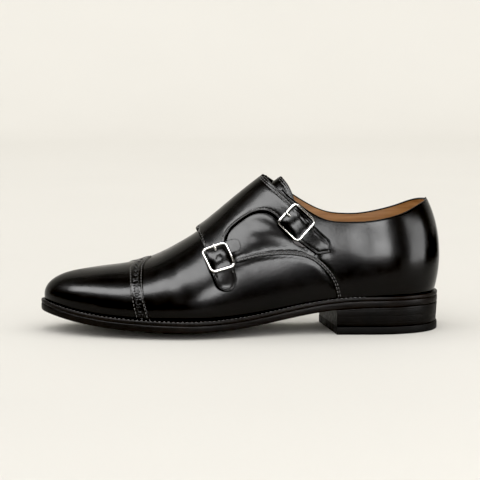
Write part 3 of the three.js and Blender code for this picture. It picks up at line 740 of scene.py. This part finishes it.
BLACK_CALF = calf("black_calf", CALF, (0.19, 0.27), 0.1)
STRAP_CALF = calf("strap_calf", STRAP, (0.27, 0.35), 0.055)
TAN_LINING = plain_leather("tan_lining", TAN, (0.42, 0.6), 0.2, squeeze=(0.35, 1, 4.5))
SOCK = plain_leather("sock_leather", SOCK_TAN, (0.4, 0.58), 0.35)
HOLDER = plain_leather("buckle_holder", DARK_BROWN, (0.22, 0.4), 0.12)
SOLE_EDGE = layered("waxed_sole_edge", WAXED_SOLE, (0.34, 0.52), 5.2)
HEEL_EDGE = layered("waxed_heel_edge", WAXED_HEEL, (0.36, 0.54), 4.6)
WELT_LEATHER = plain_leather("welt_leather", WELT_BLACK, (0.32, 0.5), 0.08, 0.7, 0.03)
RUBBER = plain_leather("heel_rubber", RUBBER_BLACK, (0.47, 0.65), 0.06, 1.0, 0.05)
NICKEL = nickel()
BLACK_THREAD = thread_material("black_thread", (0.038, 0.035, 0.032))
WELT_THREAD = thread_material("welt_thread", (0.014, 0.011, 0.009))


# ---- the lifts of the leather over the last ----
def share_of_flap(along, over):
    """1 where the inner quarter has risen to pass over the outer one as the strap flap."""
    risen = smoothstep(1 - over, 0.45, 0.85) * smoothstep(along, 0.26, 0.38)
    return np.where(np.asarray(over) > 0, risen, smoothstep(along, 0.2, 0.28))


def flap_under(along, over):
    return GAP + 1.3 * share_of_flap(along, over)


def flap_face(along, over):
    return flap_under(along, over) + 1 + 0.6 * share_of_flap(along, over)


def vamp_face(along, over):
    """The vamp rises a little towards the toe cap, which is laid over it."""
    return 0.9 * smoothstep(wall(along, over)[..., 0], 198, 226)


# ---- the upper ----
VAMP_BACK = ((74, 27), (77, 40), (85, 53), (96, 62), (113, 68), (130, 68.5), (150, 68),
             (168, 75), (176, 84))
VAMP_FRONT = ((227, 13), (230, 27), (231, 36), (231, 46), (230.5, 51))
CAP_BACK = ((225.5, 14), (229, 27.3), (230, 36.3), (230, 46.2), (229.6, 52))
BAND_FACE = 1.75
PUNCH_PITCH = 5.4
SEAM_ROWS = (1.3, 2.8)


def foot_of(place):
    """The foot of the wall below a charted place."""
    return np.array([place[0], math.copysign(FOOT, place[1])])


def even(line, count=400):
    """The same charted line with points evenly far apart over the surface."""
    run = by_distance(wall(*line.T))[:, 0]
    return read_at(np.linspace(0, run[-1], count), run, line)


def inset(line, distance, polygon):
    """The line moved into the polygon, without what falls outside it."""
    moved = [beside(line, hand * distance) for hand in (-1, 1)]
    return max((line[inside_polygon(line, polygon)] for line in moved), key=len)


def over_ridge(points, lift=0.0):
    """A line up the outer side through side-view points, over the ridge and down the inner."""
    outer, inner = (seen(side, points, lift) for side in (OUTER, INNER))
    outer[-1] = inner[-1] = ((outer[-1, 0] + inner[-1, 0]) / 2, 0)
    return np.concatenate([outer, inner[-2::-1]])


def band_outline(rear, front):
    """The outline of leather that runs over the ridge between two lines."""
    return joined(
        outer_rear=foot_of(rear[0]), rear=rear, inner_rear=foot_of(rear[-1]),
        inner_front=foot_of(front[-1]), front=front[::-1], outer_front=foot_of(front[0]),
    )


def make_vamp():
    outline = band_outline(over_ridge(VAMP_BACK), over_ridge(VAMP_FRONT))
    panel("vamp", outline, (), 0, vamp_face, grain=1.5, relief=folds(VAMP_FOLDS),
          replaces=("upper",))


def make_toe_cap():
    back = over_ridge(CAP_BACK, CAP_FACE)
    outline = joined(
        outer=foot_of(back[0]), back=back, inner=foot_of(back[-1]), inner_tip=(1, FOOT),
        tip=(1, 0), outer_tip=(1, -FOOT),
    )
    panel("toe_cap_leather", outline, (), 0.9, CAP_FACE, grain=1.5, replaces=("toe_cap",))


def make_cap_band():
    """The punched band over the cap's seam."""
    rear, front = over_ridge(CAP_SEAM, BAND_FACE), over_ridge(BAND_FRONT, BAND_FACE)
    rear_even, front_even = even(rear), even(front)
    width = front_even - rear_even
    lines = [rear_even + width * share for share in (0.12, 0.9)]
    centre = rear_even + width * 0.5
    run = by_distance(wall(*centre.T))[:, 0]
    pits = []
    for k, at in enumerate(np.arange(2, run[-1] - 1, PUNCH_PITCH / 2)):
        holes = ((0, 1.3, 1.1),) if k % 2 == 0 else ((-0.13, 0.55, 0.8), (0.13, 0.55, 0.8))
        for aside, radius, depth in holes:
            pits.append((*read_at(at, run, centre + width * aside), radius, depth))
    return panel("cap_band", band_outline(rear, front), ("rear", "front"), 0.95, BAND_FACE,
                 edge=0.5, grain=1.3, lines=lines, pits=pits)


def make_quarter_outer():
    seam = seen(OUTER, VAMP_SEAM, QUARTER_FACE)
    facing = seen(OUTER, (VAMP_SEAM[-1],) + FACING_OUTER, QUARTER_FACE)
    collar = seen(OUTER, (FACING_OUTER[-1],) + COLLAR_OUTER[-3::-1], QUARTER_FACE)
    collar[-1, 0] = 0
    outline = joined(
        seam=seam, facing=facing, collar=collar, heel=straight(collar[-1], (0, -FOOT)),
        foot=foot_of(seam[0]),
    )
    lines = [inset(seam, k, outline[0]) for k in SEAM_ROWS]
    rounded = ("seam", "facing", "collar", "heel")
    return panel("quarter_outer_leather", outline, rounded, 0, QUARTER_FACE, edge=0.7,
                 lines=lines, relief=quarter_wrinkles, replaces=("quarter_outer",))


def outside_rings(line):
    """The parts of a stitch line that don't run inside a buckle's ring."""
    inside = np.zeros(len(line), bool)
    for buckle in PLACES.values():
        tailward, sideward = buckle.local(wall(*line.T))
        inside |= (np.abs(tailward) < 11) & (np.abs(sideward) < 10)
    runs = np.split(np.arange(len(line)), np.flatnonzero(np.diff(inside.astype(int))) + 1)
    return [line[run] for run in runs if not inside[run[0]] and len(run) > 6]


def make_quarter_inner():
    """The inner quarter, whose flap crosses the instep and splits into the two straps."""
    def edge(points):
        return seen(OUTER, points[::-1], FLAP_FACE)

    def row(line, distance):
        return inset(line, distance, outline[0])

    top, front = edge(FLAP_TOP), edge(FLAP_FRONT)
    top[0, 1] = front[-1, 1] = 0
    inner_front = (FLAP_FRONT[0], (182, 67.5), (174, 61))
    toward_vamp = seen(INNER, inner_front + VAMP_SEAM[::-1], 2)
    collar = seen(INNER, COLLAR_INNER, QUARTER_FACE)
    toward_vamp[0] = front[-1]
    collar[0, 0] = 0
    collar[-1] = top[0]
    outline = joined(
        top=top, back=edge(UPPER_TAIL_BACK), end=edge(UPPER_TAIL_END), arch=edge(ARCH),
        tip=edge(LOWER_TAIL_TIP), side=edge(LOWER_TAIL_FRONT), front=front,
        inner_seam=toward_vamp, foot=foot_of(toward_vamp[-1]),
        heel=straight((0, FOOT), collar[0]), collar=collar,
    )
    tails = [outline[1][key][:-1] for key in ("back", "end", "arch", "tip", "side")]
    lines = [
        row(top, 2.0), row(top, 3.6), *outside_rings(row(np.concatenate(tails), 1.9)),
        row(front, 1.9), *(row(toward_vamp, k) for k in SEAM_ROWS),
    ]
    rounded = ("top", "back", "end", "arch", "tip", "side", "front", "inner_seam", "heel", "collar")
    rows = panel("quarter_inner_leather", outline, rounded, flap_under, flap_face, lines=lines,
                 relief=strap_humps, solid=True, replaces=("quarter_inner_with_straps",))
    return [(run, lift) for line, lift in rows for run in outside_rings(line)]


HOLDERS = {
    "lower": ((167, 70.5), (155.9, 71), (154.7, 67), (155.6, 63.9), (160, 62.8), (166, 61.5)),
    "upper": ((118, 75.5), (113.6, 67.6), (109.5, 66), (104.6, 65.7), (104, 71), (108, 76)),
}


def make_holders():
    """The corners of the leather that holds each buckle, below the edge of its strap."""
    for (name, points), leather in zip(HOLDERS.items(), (BLACK_CALF, HOLDER)):
        outline = joined(edge=seen(OUTER, points + points[:1], QUARTER_FACE))
        panel("holder_" + name, outline, ("edge",), QUARTER_FACE - 0.2, QUARTER_FACE + 0.35,
              leather, edge=0.3, grain=1.2)


def tongue_face(along, _over):
    return -(WALL + GAP) - 3.2 * (1 - smoothstep(along, 0.42, 0.62))


TONGUE_OUTLINE = (
    (122.5, 117.4), (117.6, 111), (114.6, 104.5), (113.2, 98), (113.5, 91), (118, 85),
    (150, 63), (179.8, 46), (190, 60), (196.7, 70),
)


def make_tongue():
    tip_line = over_ridge(TONGUE_OUTLINE[4::-1], -6)
    root_line = over_ridge(TONGUE_OUTLINE[4:], -4)
    root_line[0], root_line[-1] = tip_line[0], tip_line[-1]
    outline = joined(tip=tip_line, root=root_line[::-1])
    lines = [inset(tip_line, k, outline[0]) for k in (1.8, 3.4)]
    return panel("tongue_leather", outline, ("tip",), lambda a, o: tongue_face(a, o) - TONGUE,
                 tongue_face, edge=1.0, grain=2.0, lines=lines, solid=True, replaces=("tongue",))


def make_lining():
    """Tan leather inside the upper, from the topline to the insole and on to the toe."""
    def depth(along, over):
        return -1.0 - 1.3 * np.clip(away_from(edge_tree, wall(along, over)) / 6, 0, 1)

    opening = ((183, 76), (172, 70), (167, 76), (150, 95), (134, 106), (121, 108))
    outer_open = seen(OUTER, opening[:3] + ((150, 90), (134, 98), (118, 99.5)))
    inner_open = seen(INNER, opening)
    outer_open[0] = inner_open[0] = ((outer_open[0, 0] + inner_open[0, 0]) / 2, 0)
    outer = seen(OUTER, ((118, 99.5), (112, 97.2)) + COLLAR_OUTER[-5::-1])
    inner = seen(INNER, ((121, 108),) + COLLAR_INNER[-2::-1])
    outer[0], inner[0] = outer_open[-1], inner_open[-1]
    outer[-1, 0] = inner[-1, 0] = 0
    inner[-1, 1] = -outer[-1, 1]
    outline = joined(
        outer_open=outer_open, outer=outer, outer_heel=(0, -FOOT), outer_toe=(1, -FOOT),
        inner_toe=(1, FOOT), inner_heel=(0, FOOT), inner=inner[::-1],
        inner_open=inner_open[::-1],
    )
    edge_tree = tree_along([outer, inner, outer_open, inner_open])
    panel("lining", outline, (), depth, depth, TAN_LINING, grain=2.6)


def make_topline():
    """The rolled dark edge that covers quarter and lining along the collar."""
    outer = seen(OUTER, ((122.3, 107.4),) + COLLAR_OUTER[-3::-1])
    inner = seen(INNER, COLLAR_INNER)
    outer[-1, 0] = inner[0, 0] = 0
    for name, line in (("topline_outer", outer), ("topline_inner", inner)):
        line = even(line, 240)
        across = []
        for turn in np.linspace(0, 2 * np.pi, 14, endpoint=False):
            base, normal = wall_with_normal(*line.T, 0.05 + math.sin(turn) * 1.2)
            side = np.cross(np.gradient(wall(*line.T), axis=0), normal)
            side /= np.linalg.norm(side, axis=1, keepdims=True)
            side *= np.sign(side[len(side) // 2, 2])
            across.append(base + side * math.cos(turn) * 0.5)
        add_tube(name, np.stack(across, 1), STRAP_CALF)


# ---- stitches ----
# The rounded shape of a stitch: share of its half length, share of its radius.
STITCH_RINGS = ((-1, 0.15), (-0.86, 0.62), (-0.4, 1), (0.4, 1), (0.86, 0.62), (1, 0.15))
STITCH_SIDES = 6
STITCH_SUNK = 0.1


def make_thread(name, rows, pitch, length, radius, material):
    """Rows of short round stitches. A row is a dense line of points with its normals."""
    turns = 2 * math.pi * np.arange(STITCH_SIDES)[:, None] / STITCH_SIDES
    points, faces = [], []
    for line, normals in rows:
        run = by_distance(line)[:, 0]
        count = int(run[-1] // pitch)
        start = (run[-1] - count * pitch) / 2
        for at in start + pitch * (np.arange(count) + 0.5):
            here, normal = read_at(at, run, line), read_at(at, run, normals)
            heading = read_at(at + 0.2, run, line) - read_at(at - 0.2, run, line)
            heading /= np.linalg.norm(heading)
            aside = np.cross(heading, normal)
            faces += tube_faces(len(STITCH_RINGS), STITCH_SIDES, len(points) * STITCH_SIDES)
            for reach, swell in STITCH_RINGS:
                middle = here + heading * reach * length / 2 - normal * radius * 0.9 * reach ** 4
                around = aside * np.cos(turns) + normal * np.sin(turns) * 0.85
                points.append(middle + around * radius * swell)
    add_piece(name, np.concatenate(points), faces, material, weld=False)


def on_upper(rows):
    """Stitch rows laid on the leather, a little sunk in."""
    made = []
    for line, lift in rows:
        line = even(line, max(8, int(by_distance(wall(*line.T))[-1, 0] * 2)))
        made.append(wall_with_normal(*line.T, lift_at(lift, line) - STITCH_SUNK))
    return made


# ---- the sole ----
UNDER_WELT = 2 * GAP + WELT
PLATE_COLUMNS = 181
PLATE_RUNGS = 14
WELT_COLUMNS = 150
# How the layers' edges are shaped: distance out, share of the height.
ROUND_EDGE = ((-0.9, 1), (-0.45, 0.985), (-0.14, 0.9), (0, 0.72), (0.03, 0.5), (0, 0.25),
              (-0.12, 0.08), (-0.4, 0))
STACK_EDGE = ((-0.6, 1), (-0.15, 0.985), (0, 0.95), (0, 0.6), (0, 0.3), (0, 0.04), (-0.2, 0))
FOOT_EDGE = ((-0.5, 1), (-0.12, 0.95), (0, 0.85), (0, 0.5), (0, 0.12), (-0.25, 0.02),
             (-0.6, 0))
SOCK_EDGE = ((-0.8, 1), (-0.2, 0.85), (0, 0.4), (0, 0))


def one_side(along, side):
    """The side, with the outer one's feather line where both meet."""
    return np.where(at_tip(along), OUTER, side)


def place_between(points, along, side):
    """How far points lie from the side's feather line (0) towards the other side's (1)."""
    foot = feather(along, side)[0]
    reach = feather(along, -side)[0] - foot
    width = (reach ** 2).sum(-1)
    place = ((points - foot) * reach).sum(-1) / np.maximum(width, SMALL)
    return np.where(width > SMALL, place, 0)


def sole_points(along, side, stand, level):
    """Points "stand" outside the feather line, at a level given by forward and place."""
    side = one_side(along, side)
    foot, out = feather(along, side)
    point = foot + out * np.asarray(stand)[..., None]
    height = level(point[..., 0], place_between(point, along, side))
    return np.concatenate([point, height[..., None]], -1)


def margin_at(along, side):
    side = one_side(along, side)
    margins = sole_margin(feather(along, side)[0][..., 0])
    return np.where(side == OUTER, margins[..., 0], margins[..., 1])


def edge_points(along, side, top, bottom, profile, taper=0.0, margin=None):
    """Rows of points down the sole's edge; profile rows are (stand out, share of height)."""
    rows = []
    for out, share in profile:
        stand = (margin_at(along, side) if margin is None else margin) + out
        stand = stand - taper * (1 - share)
        high = sole_points(along, side, stand, top)
        low = sole_points(along, side, stand, bottom)
        rows.append(low + (high - low) * share)
    return np.stack(rows)


def sole_plate(name, top, bottom, profile, material, replaces, taper=0.0,
               margin=None, end=1.0):
    """A full layer of the sole with a shaped edge. One of the heel ends at the breast."""
    along = (1 - np.cos(np.linspace(0, np.pi, PLATE_COLUMNS))) / 2 * end
    outer, inner = (
        edge_points(along, side, top, bottom, profile, taper, margin)
        for side in (OUTER, INNER)
    )

    def across(k, level):
        share = np.linspace(0, 1, PLATE_RUNGS + 1)[1:-1, None, None]
        points = outer[k, :, :2] + (inner[k, :, :2] - outer[k, :, :2]) * share
        height = level(points[..., 0], place_between(points, along, OUTER))
        return np.concatenate([points, height[..., None]], -1)

    section = np.concatenate([outer, across(-1, bottom), inner[::-1], across(0, top)[::-1]])
    faces = grid_faces(PLATE_COLUMNS, len(section), close_columns=True)
    points = section.transpose(1, 0, 2).reshape(-1, 3)
    piece = add_piece(name, points, faces, material, replaces)
    if end < 1:
        cut_at_breast(piece)


def cut_at_breast(piece):
    outer, inner = HEEL_BREAST
    half_width = 32
    edit = bmesh.new()
    edit.from_mesh(piece.data)
    middle = to_frame([(outer + inner) / 2, 0, 0])
    slope = (inner - outer) / (2 * half_width)
    geometry = list(edit.verts) + list(edit.edges) + list(edit.faces)
    cut = bmesh.ops.bisect_plane(edit, geom=geometry, plane_co=middle,
                                 plane_no=Vector((-1, -slope, 0)).normalized(),
                                 clear_outer=True, dist=1e-7)
    edges = [e for e in cut["geom_cut"] if isinstance(e, bmesh.types.BMEdge)]
    bmesh.ops.holes_fill(edit, edges=edges)
    bmesh.ops.recalc_face_normals(edit, faces=edit.faces)
    edit.to_mesh(piece.data)
    edit.free()
    piece.data.set_sharp_from_angle(angle=math.radians(40))


def make_welt():
    """A closed strip of the sole that runs all round under the upper's edge."""
    top, bottom = below_last(GAP), below_last(GAP + WELT)
    steps = (1 - np.cos(np.linspace(0, np.pi, WELT_COLUMNS))) / 2
    along = np.concatenate([steps, steps[-2:0:-1]])
    side = np.repeat([OUTER, INNER], [WELT_COLUMNS, WELT_COLUMNS - 2])
    rows = [*edge_points(along, side, top, bottom, ROUND_EDGE),
            *(sole_points(along, side, -WELT_INWARD, level) for level in (bottom, top))]
    faces = grid_faces(len(along), len(rows), close_rows=True, close_columns=True)
    add_piece("welt_strip", np.stack(rows, 1).reshape(-1, 3), faces, WELT_LEATHER,
              ("welt",))


def below_last(drop):
    """A level this far below the last's bottom, but never below the floor."""
    return lambda forward, place: np.maximum(0, last_bottom(forward, place) - drop)


def level_at(up):
    return lambda forward, place: np.full(np.shape(forward), float(up))


def make_sole():
    sole_plate("outsole_leather", below_last(UNDER_WELT - 0.25), below_last(UNDER_WELT + OUTSOLE),
               ROUND_EDGE, SOLE_EDGE, ("outsole",))
    outsole_bottom = below_last(UNDER_WELT + OUTSOLE)
    sole_plate("heel_lifts", lambda f, p: outsole_bottom(f, p) - GAP + 0.2,
               level_at(TOP_PIECE + 0.1), STACK_EDGE, HEEL_EDGE, ("heel_stack",), taper=0.9,
               end=0.5)
    sole_plate("heel_rubber_piece", level_at(TOP_PIECE - 0.1), level_at(0), FOOT_EDGE, RUBBER,
               ("heel_top_piece",), end=0.5)
    sole_plate("sock", below_last(-2.8), below_last(-0.2), SOCK_EDGE, SOCK, ("insole",),
               margin=-3.0)


def welt_stitches():
    along = np.linspace(0.22, 1, 300)
    upright = np.tile([0.0, 0, 1], (len(along), 1))
    return [
        (sole_points(along, side, margin_at(along, side) - 1.9, below_last(GAP)), upright)
        for side in (OUTER, INNER)
    ]


# ---- the buckles ----
HALF_WIRE = BUCKLE_WIRE / 2
RING_CORNER = 3.2
RING_LIFT = FLAP_FACE + GAP + BUCKLE_THICKNESS / 2
# A cast frame: a flat face with two bevels and a rounded back, in shares of half its wire.
RING_SECTION = (
    (-1, -0.5), (-0.93, 0.1), (-0.42, 0.92), (-0.3, 1), (0.3, 1), (0.42, 0.92),
    (0.93, 0.1), (1, -0.5), (0.8, -0.9), (0.5, -1), (-0.5, -1), (-0.8, -0.9),
)
# The prong comes out of the strap and over the front bar: distance along the strap, lift.
PRONG = (
    (-5.2, 3.1), (-6.2, 4.1), (-7.3, 5.2), (-8.4, 5.75), (-9.6, 5.85), (-10.5, 5.6),
    (-10.9, 5.1),
)


class Buckle:
    """The buckle's own place: out of the wall, along the strap to its tail, and across it."""

    def __init__(self, size, place, run):
        self.half_ring = size / 2 - HALF_WIRE
        self.chart = chart_of([place], OUTER)[0]
        self.centre, self.out = (v[0] for v in wall_with_normal(*self.chart[:, None]))
        run_across = -(self.out[0] * run[0] + self.out[2] * run[1]) / self.out[1]
        tail = np.array([run[0], run_across, run[1]])
        self.tail = tail / np.linalg.norm(tail)
        self.beside = np.cross(self.out, self.tail)

    def local(self, points):
        """How far points lie along the strap and across it from the buckle's centre."""
        return (points - self.centre) @ self.tail, (points - self.centre) @ self.beside

    def over(self, flat, lift):
        """Points over the wall, for complex numbers: along the strap, and across it."""
        start = np.tile(self.chart + [0, 1], (len(flat), 1))
        at = settle(start, OUTER, np.stack([flat.real, flat.imag], -1),
                    lambda points: np.stack(self.local(points), -1))
        return wall(*at.T, lift)


PLACES = {name: Buckle(**values) for name, values in BUCKLES.items()}


def make_ring(name, buckle):
    half = buckle.half_ring - RING_CORNER
    corner = complex(half, -half) + RING_CORNER * np.exp(0.5j * np.pi * (np.arange(9) / 8 - 1))
    side = half + RING_CORNER + 1j * half * (np.arange(1, 8) / 4 - 1)
    spine = np.concatenate([np.append(corner, side) * 1j ** quarter for quarter in range(4)])
    heading = np.roll(spine, -1) - np.roll(spine, 1)
    aside = heading / np.abs(heading) * -1j * HALF_WIRE
    rings = [buckle.over(spine + aside * wide, RING_LIFT + high * BUCKLE_THICKNESS / 2)
             for wide, high in RING_SECTION]
    faces = grid_faces(len(spine), len(rings), close_rows=True, close_columns=True)
    ring = add_piece("buckle_" + name, np.stack(rings, 1).reshape(-1, 3), faces, NICKEL,
                     ("buckle_frame_" + name,))
    bevel = ring.modifiers.new("bevel", "BEVEL")
    bevel.width = 0.12 * MM
    bevel.segments = 2
    bevel.limit_method = "ANGLE"


def make_prong(name, buckle):
    spine = smooth_run(PRONG, 0.3)
    turn = np.linspace(0, 2 * np.pi, 14, endpoint=False)[:, None]
    loops = []
    for share, (tailward, lift) in zip(np.linspace(0, 1, len(spine)), spine):
        thick = 0.8 * math.sqrt(max(0.05, 1 - max(0, (share - 0.86) / 0.14) ** 2))
        loops.append(buckle.centre + buckle.tail * tailward
                     + buckle.beside * np.cos(turn) * thick * 1.1
                     + buckle.out * (lift + np.sin(turn) * thick))
    add_tube("prong_" + name, loops, NICKEL, ("buckle_prong_" + name,))


HUMP_HEIGHT = 1.7
HUMP_LENGTH = 8.5
HUMP_ROUNDING = 3.4
BAR_AT = -1.5
TAIL_LIFT = 1.5
HOLE_AT = 0.2
HOLE_DEPTH = 1.4


def strap_humps(places, base):
    """The strap rises over each buckle's hidden bar, and its tail stands off the shoe."""
    rise = 0
    for buckle in PLACES.values():
        tailward, sideward = buckle.local(base)
        inside = smoothstep(9.5 - np.abs(sideward), 0, 4) * smoothstep(9.4 - np.abs(tailward), 0, 3)
        from_bar = np.hypot(tailward - BAR_AT, HUMP_ROUNDING) - HUMP_ROUNDING
        hump = HUMP_HEIGHT * (1 - from_bar / HUMP_LENGTH)
        tail = TAIL_LIFT * smoothstep(tailward, 9, 26) * (np.abs(sideward) < 11)
        hole = HOLE_DEPTH * (1 - smoothstep(np.hypot(tailward - HOLE_AT, sideward), 0.45, 0.8))
        rise = rise + hump * inside + tail - hole
    return np.where(places[:, 1] > 0, quarter_wrinkles(places, base), rise)


# ---- creases and wrinkles ----
# Each row: side, depth in mm, half width in mm, then the fold's line seen from the side. The
# first rows press the leather down along an edge that lies on it.
VAMP_FOLDS = (
    (OUTER, -0.5, 1.5, VAMP_SEAM[1:]),
    (INNER, -0.5, 1.5, VAMP_SEAM[1:]),
    (OUTER, -0.12, 4.4, ((196, 30), (200, 40), (203, 50), (205, 58))),
    (OUTER, 0.08, 4.6, ((206, 30), (210, 40), (212, 50), (214, 56))),
    (INNER, -0.14, 4.0, ((196, 28), (200, 40), (203, 50), (205, 58))),
    (INNER, 0.1, 4.2, ((206, 28), (210, 40), (212, 50), (214, 56))),
)
QUARTER_FOLDS = (
    (OUTER, -0.9, 2.2, ARCH[3:]),
    (OUTER, -0.35, 1.6, UPPER_TAIL_END),
    (OUTER, -0.7, 6.5, ((139, 108), (131, 99), (123, 90))),
    (OUTER, -0.3, 3.4, ((118, 74), (128, 79), (138, 83), (148, 84))),
    (OUTER, -0.2, 3.0, ((104, 62), (118, 67), (132, 71), (146, 73))),
    (OUTER, -1.3, 14, ((58, 72), (44, 74), (30, 76))),
    (INNER, -1.2, 14, ((60, 72), (44, 74), (30, 76))),
    (INNER, -0.16, 3.4, ((118, 74), (128, 79), (138, 83), (148, 84))),
)


def folds(rows):
    """A relief of soft troughs and ridges along the listed lines."""
    trees = [tree_along([seen(side, points)], 0.5) for side, _, _, points in rows]

    def relief(places, base):
        total = np.zeros(len(places))
        for tree, (side, depth, width, _) in zip(trees, rows):
            near = np.sign(places[:, 1] + 1e-9) == side
            total += depth * np.exp(-(away_from(tree, base) / width) ** 2) * near
        return total

    return relief


quarter_wrinkles = folds(QUARTER_FOLDS)

# ---- assembly ----
make_vamp()
make_toe_cap()
stitched = make_cap_band() + make_quarter_outer() + make_quarter_inner() + make_tongue()
make_thread("upper_stitches", on_upper(stitched), 2.9, 2.1, 0.34, BLACK_THREAD)
make_holders()
make_lining()
make_topline()
make_welt()
make_sole()
make_thread("welt_stitches", welt_stitches(), 3.4, 2.7, 0.4, WELT_THREAD)
for buckle_name, buckle_place in PLACES.items():
    make_ring(buckle_name, buckle_place)
    make_prong(buckle_name, buckle_place)

# ---- camera, lights and floor, in metres ----
MIDDLE = Vector((-0.11, 0, 0.06))
FLOOR_FRONT = -9
FLOOR_HALF_WIDTH = 8
WALL_START = 2.2
WALL_BEND = 1.2
WALL_TOP = 4.5


def direction(azimuth, elevation):
    """Azimuth 0 is in front of the shoe's outer side, and 90 behind its heel."""
    turn, rise = math.radians(azimuth), math.radians(elevation)
    return Vector((math.sin(turn) * math.cos(rise), -math.cos(turn) * math.cos(rise),
                   math.sin(rise)))


def aim(name, data, place, heading):
    made = add_object(name, data)
    made.location = place
    made.rotation_euler = heading.to_track_quat("-Z", "Y").to_euler()
    return made


def make_camera():
    back = direction(-3.8, 7.3)
    lens = bpy.data.cameras.new("camera")
    lens.lens = 138.3
    lens.sensor_width = 36
    lens.shift_y = 0.0375
    place = Vector((-0.1111, 0, 0.0541)) + back * 1.4
    bpy.context.scene.camera = aim("camera", lens, place, -back)


def area_light(name, place, heading, size, watts):
    light = bpy.data.lights.new(name, "AREA")
    light.shape = "RECTANGLE"
    light.size, light.size_y = size
    light.energy = watts
    return aim(name, light, place, heading)


def softbox(name, place, toward, size, radiance):
    """A box that is seen in the polish only. The key light does the rest."""
    lamp = area_light(name, place, toward - place, size, radiance * math.pi * size[0] * size[1])
    lamp.visible_diffuse = False
    lamp.visible_camera = False


def stage_piece(name, points, faces, material):
    mesh = bpy.data.meshes.new(name)
    mesh.from_pydata(points, [], faces)
    mesh.shade_smooth()
    mesh.materials.append(material)
    piece = add_object(name, mesh)
    return piece


def make_stage():
    """A pale floor that curves up into a backdrop far behind."""
    profile = [(FLOOR_FRONT, 0)]
    for angle in np.linspace(0, math.pi / 2, 25):
        profile.append((WALL_START + WALL_BEND * math.sin(angle), WALL_BEND * (1 - math.cos(angle))))
    profile.append((WALL_START + WALL_BEND, WALL_TOP))
    points = [(x, y, z) for x in (-FLOOR_HALF_WIDTH, FLOOR_HALF_WIDTH) for y, z in profile]
    stage_piece("floor", points, grid_faces(2, len(profile)), floor_material())


def black_card(name, start, end, height):
    """A card on edge, which only the polish sees. It keeps the far floor out of the gloss."""
    points = [(*start, 0), (*end, 0), (*end, height), (*start, height)]
    black = Material("black_card", base_color=(0.002, 0.002, 0.002, 1), roughness=0.9, specular=0)
    card = stage_piece(name, points, [(0, 1, 2, 3)], black.data)
    card.visible_camera = card.visible_diffuse = card.visible_shadow = False


def make_light():
    world = bpy.data.worlds.new("studio")
    world.use_nodes = True
    sky = world.node_tree.nodes["Background"].inputs
    sky["Color"].default_value = (1, 0.94, 0.84, 1)
    sky["Strength"].default_value = 0.14
    bpy.context.scene.world = world
    key = bpy.data.lights.new("key", "SUN")
    key.energy, key.angle = 4.15, math.radians(150)
    aim("key", key, MIDDLE, -direction(4, 72)).visible_glossy = False
    softbox("above front", MIDDLE + direction(-38, 53) * 2, MIDDLE, (2.9, 0.72), 26)
    softbox("front", Vector((0.07, -0.75, 0.22)), Vector((-0.02, 0, 0.06)), (0.26, 0.2), 30)
    softbox("heel strip", Vector((0.41, -0.24, 0.112)), Vector((0.02, -0.02, 0.06)), (0.24, 0.2), 14)
    black_card("front_card", (-0.45, -0.25), (0.14, -0.25), 0.06)
    black_card("heel_card", (0.34, -0.1), (0.34, 0.35), 0.09)
    area_light("backdrop", Vector((-0.1, 1.2, 2.6)), Vector((0, 2.2, -1.6)), (5, 1), 7)


make_camera()
make_stage()
make_light()
look = bpy.context.scene.view_settings
look.view_transform = "Standard"
look.use_curve_mapping = True
look.curve_mapping.black_level = (0.006, 0.006, 0.006)
look.curve_mapping.update()
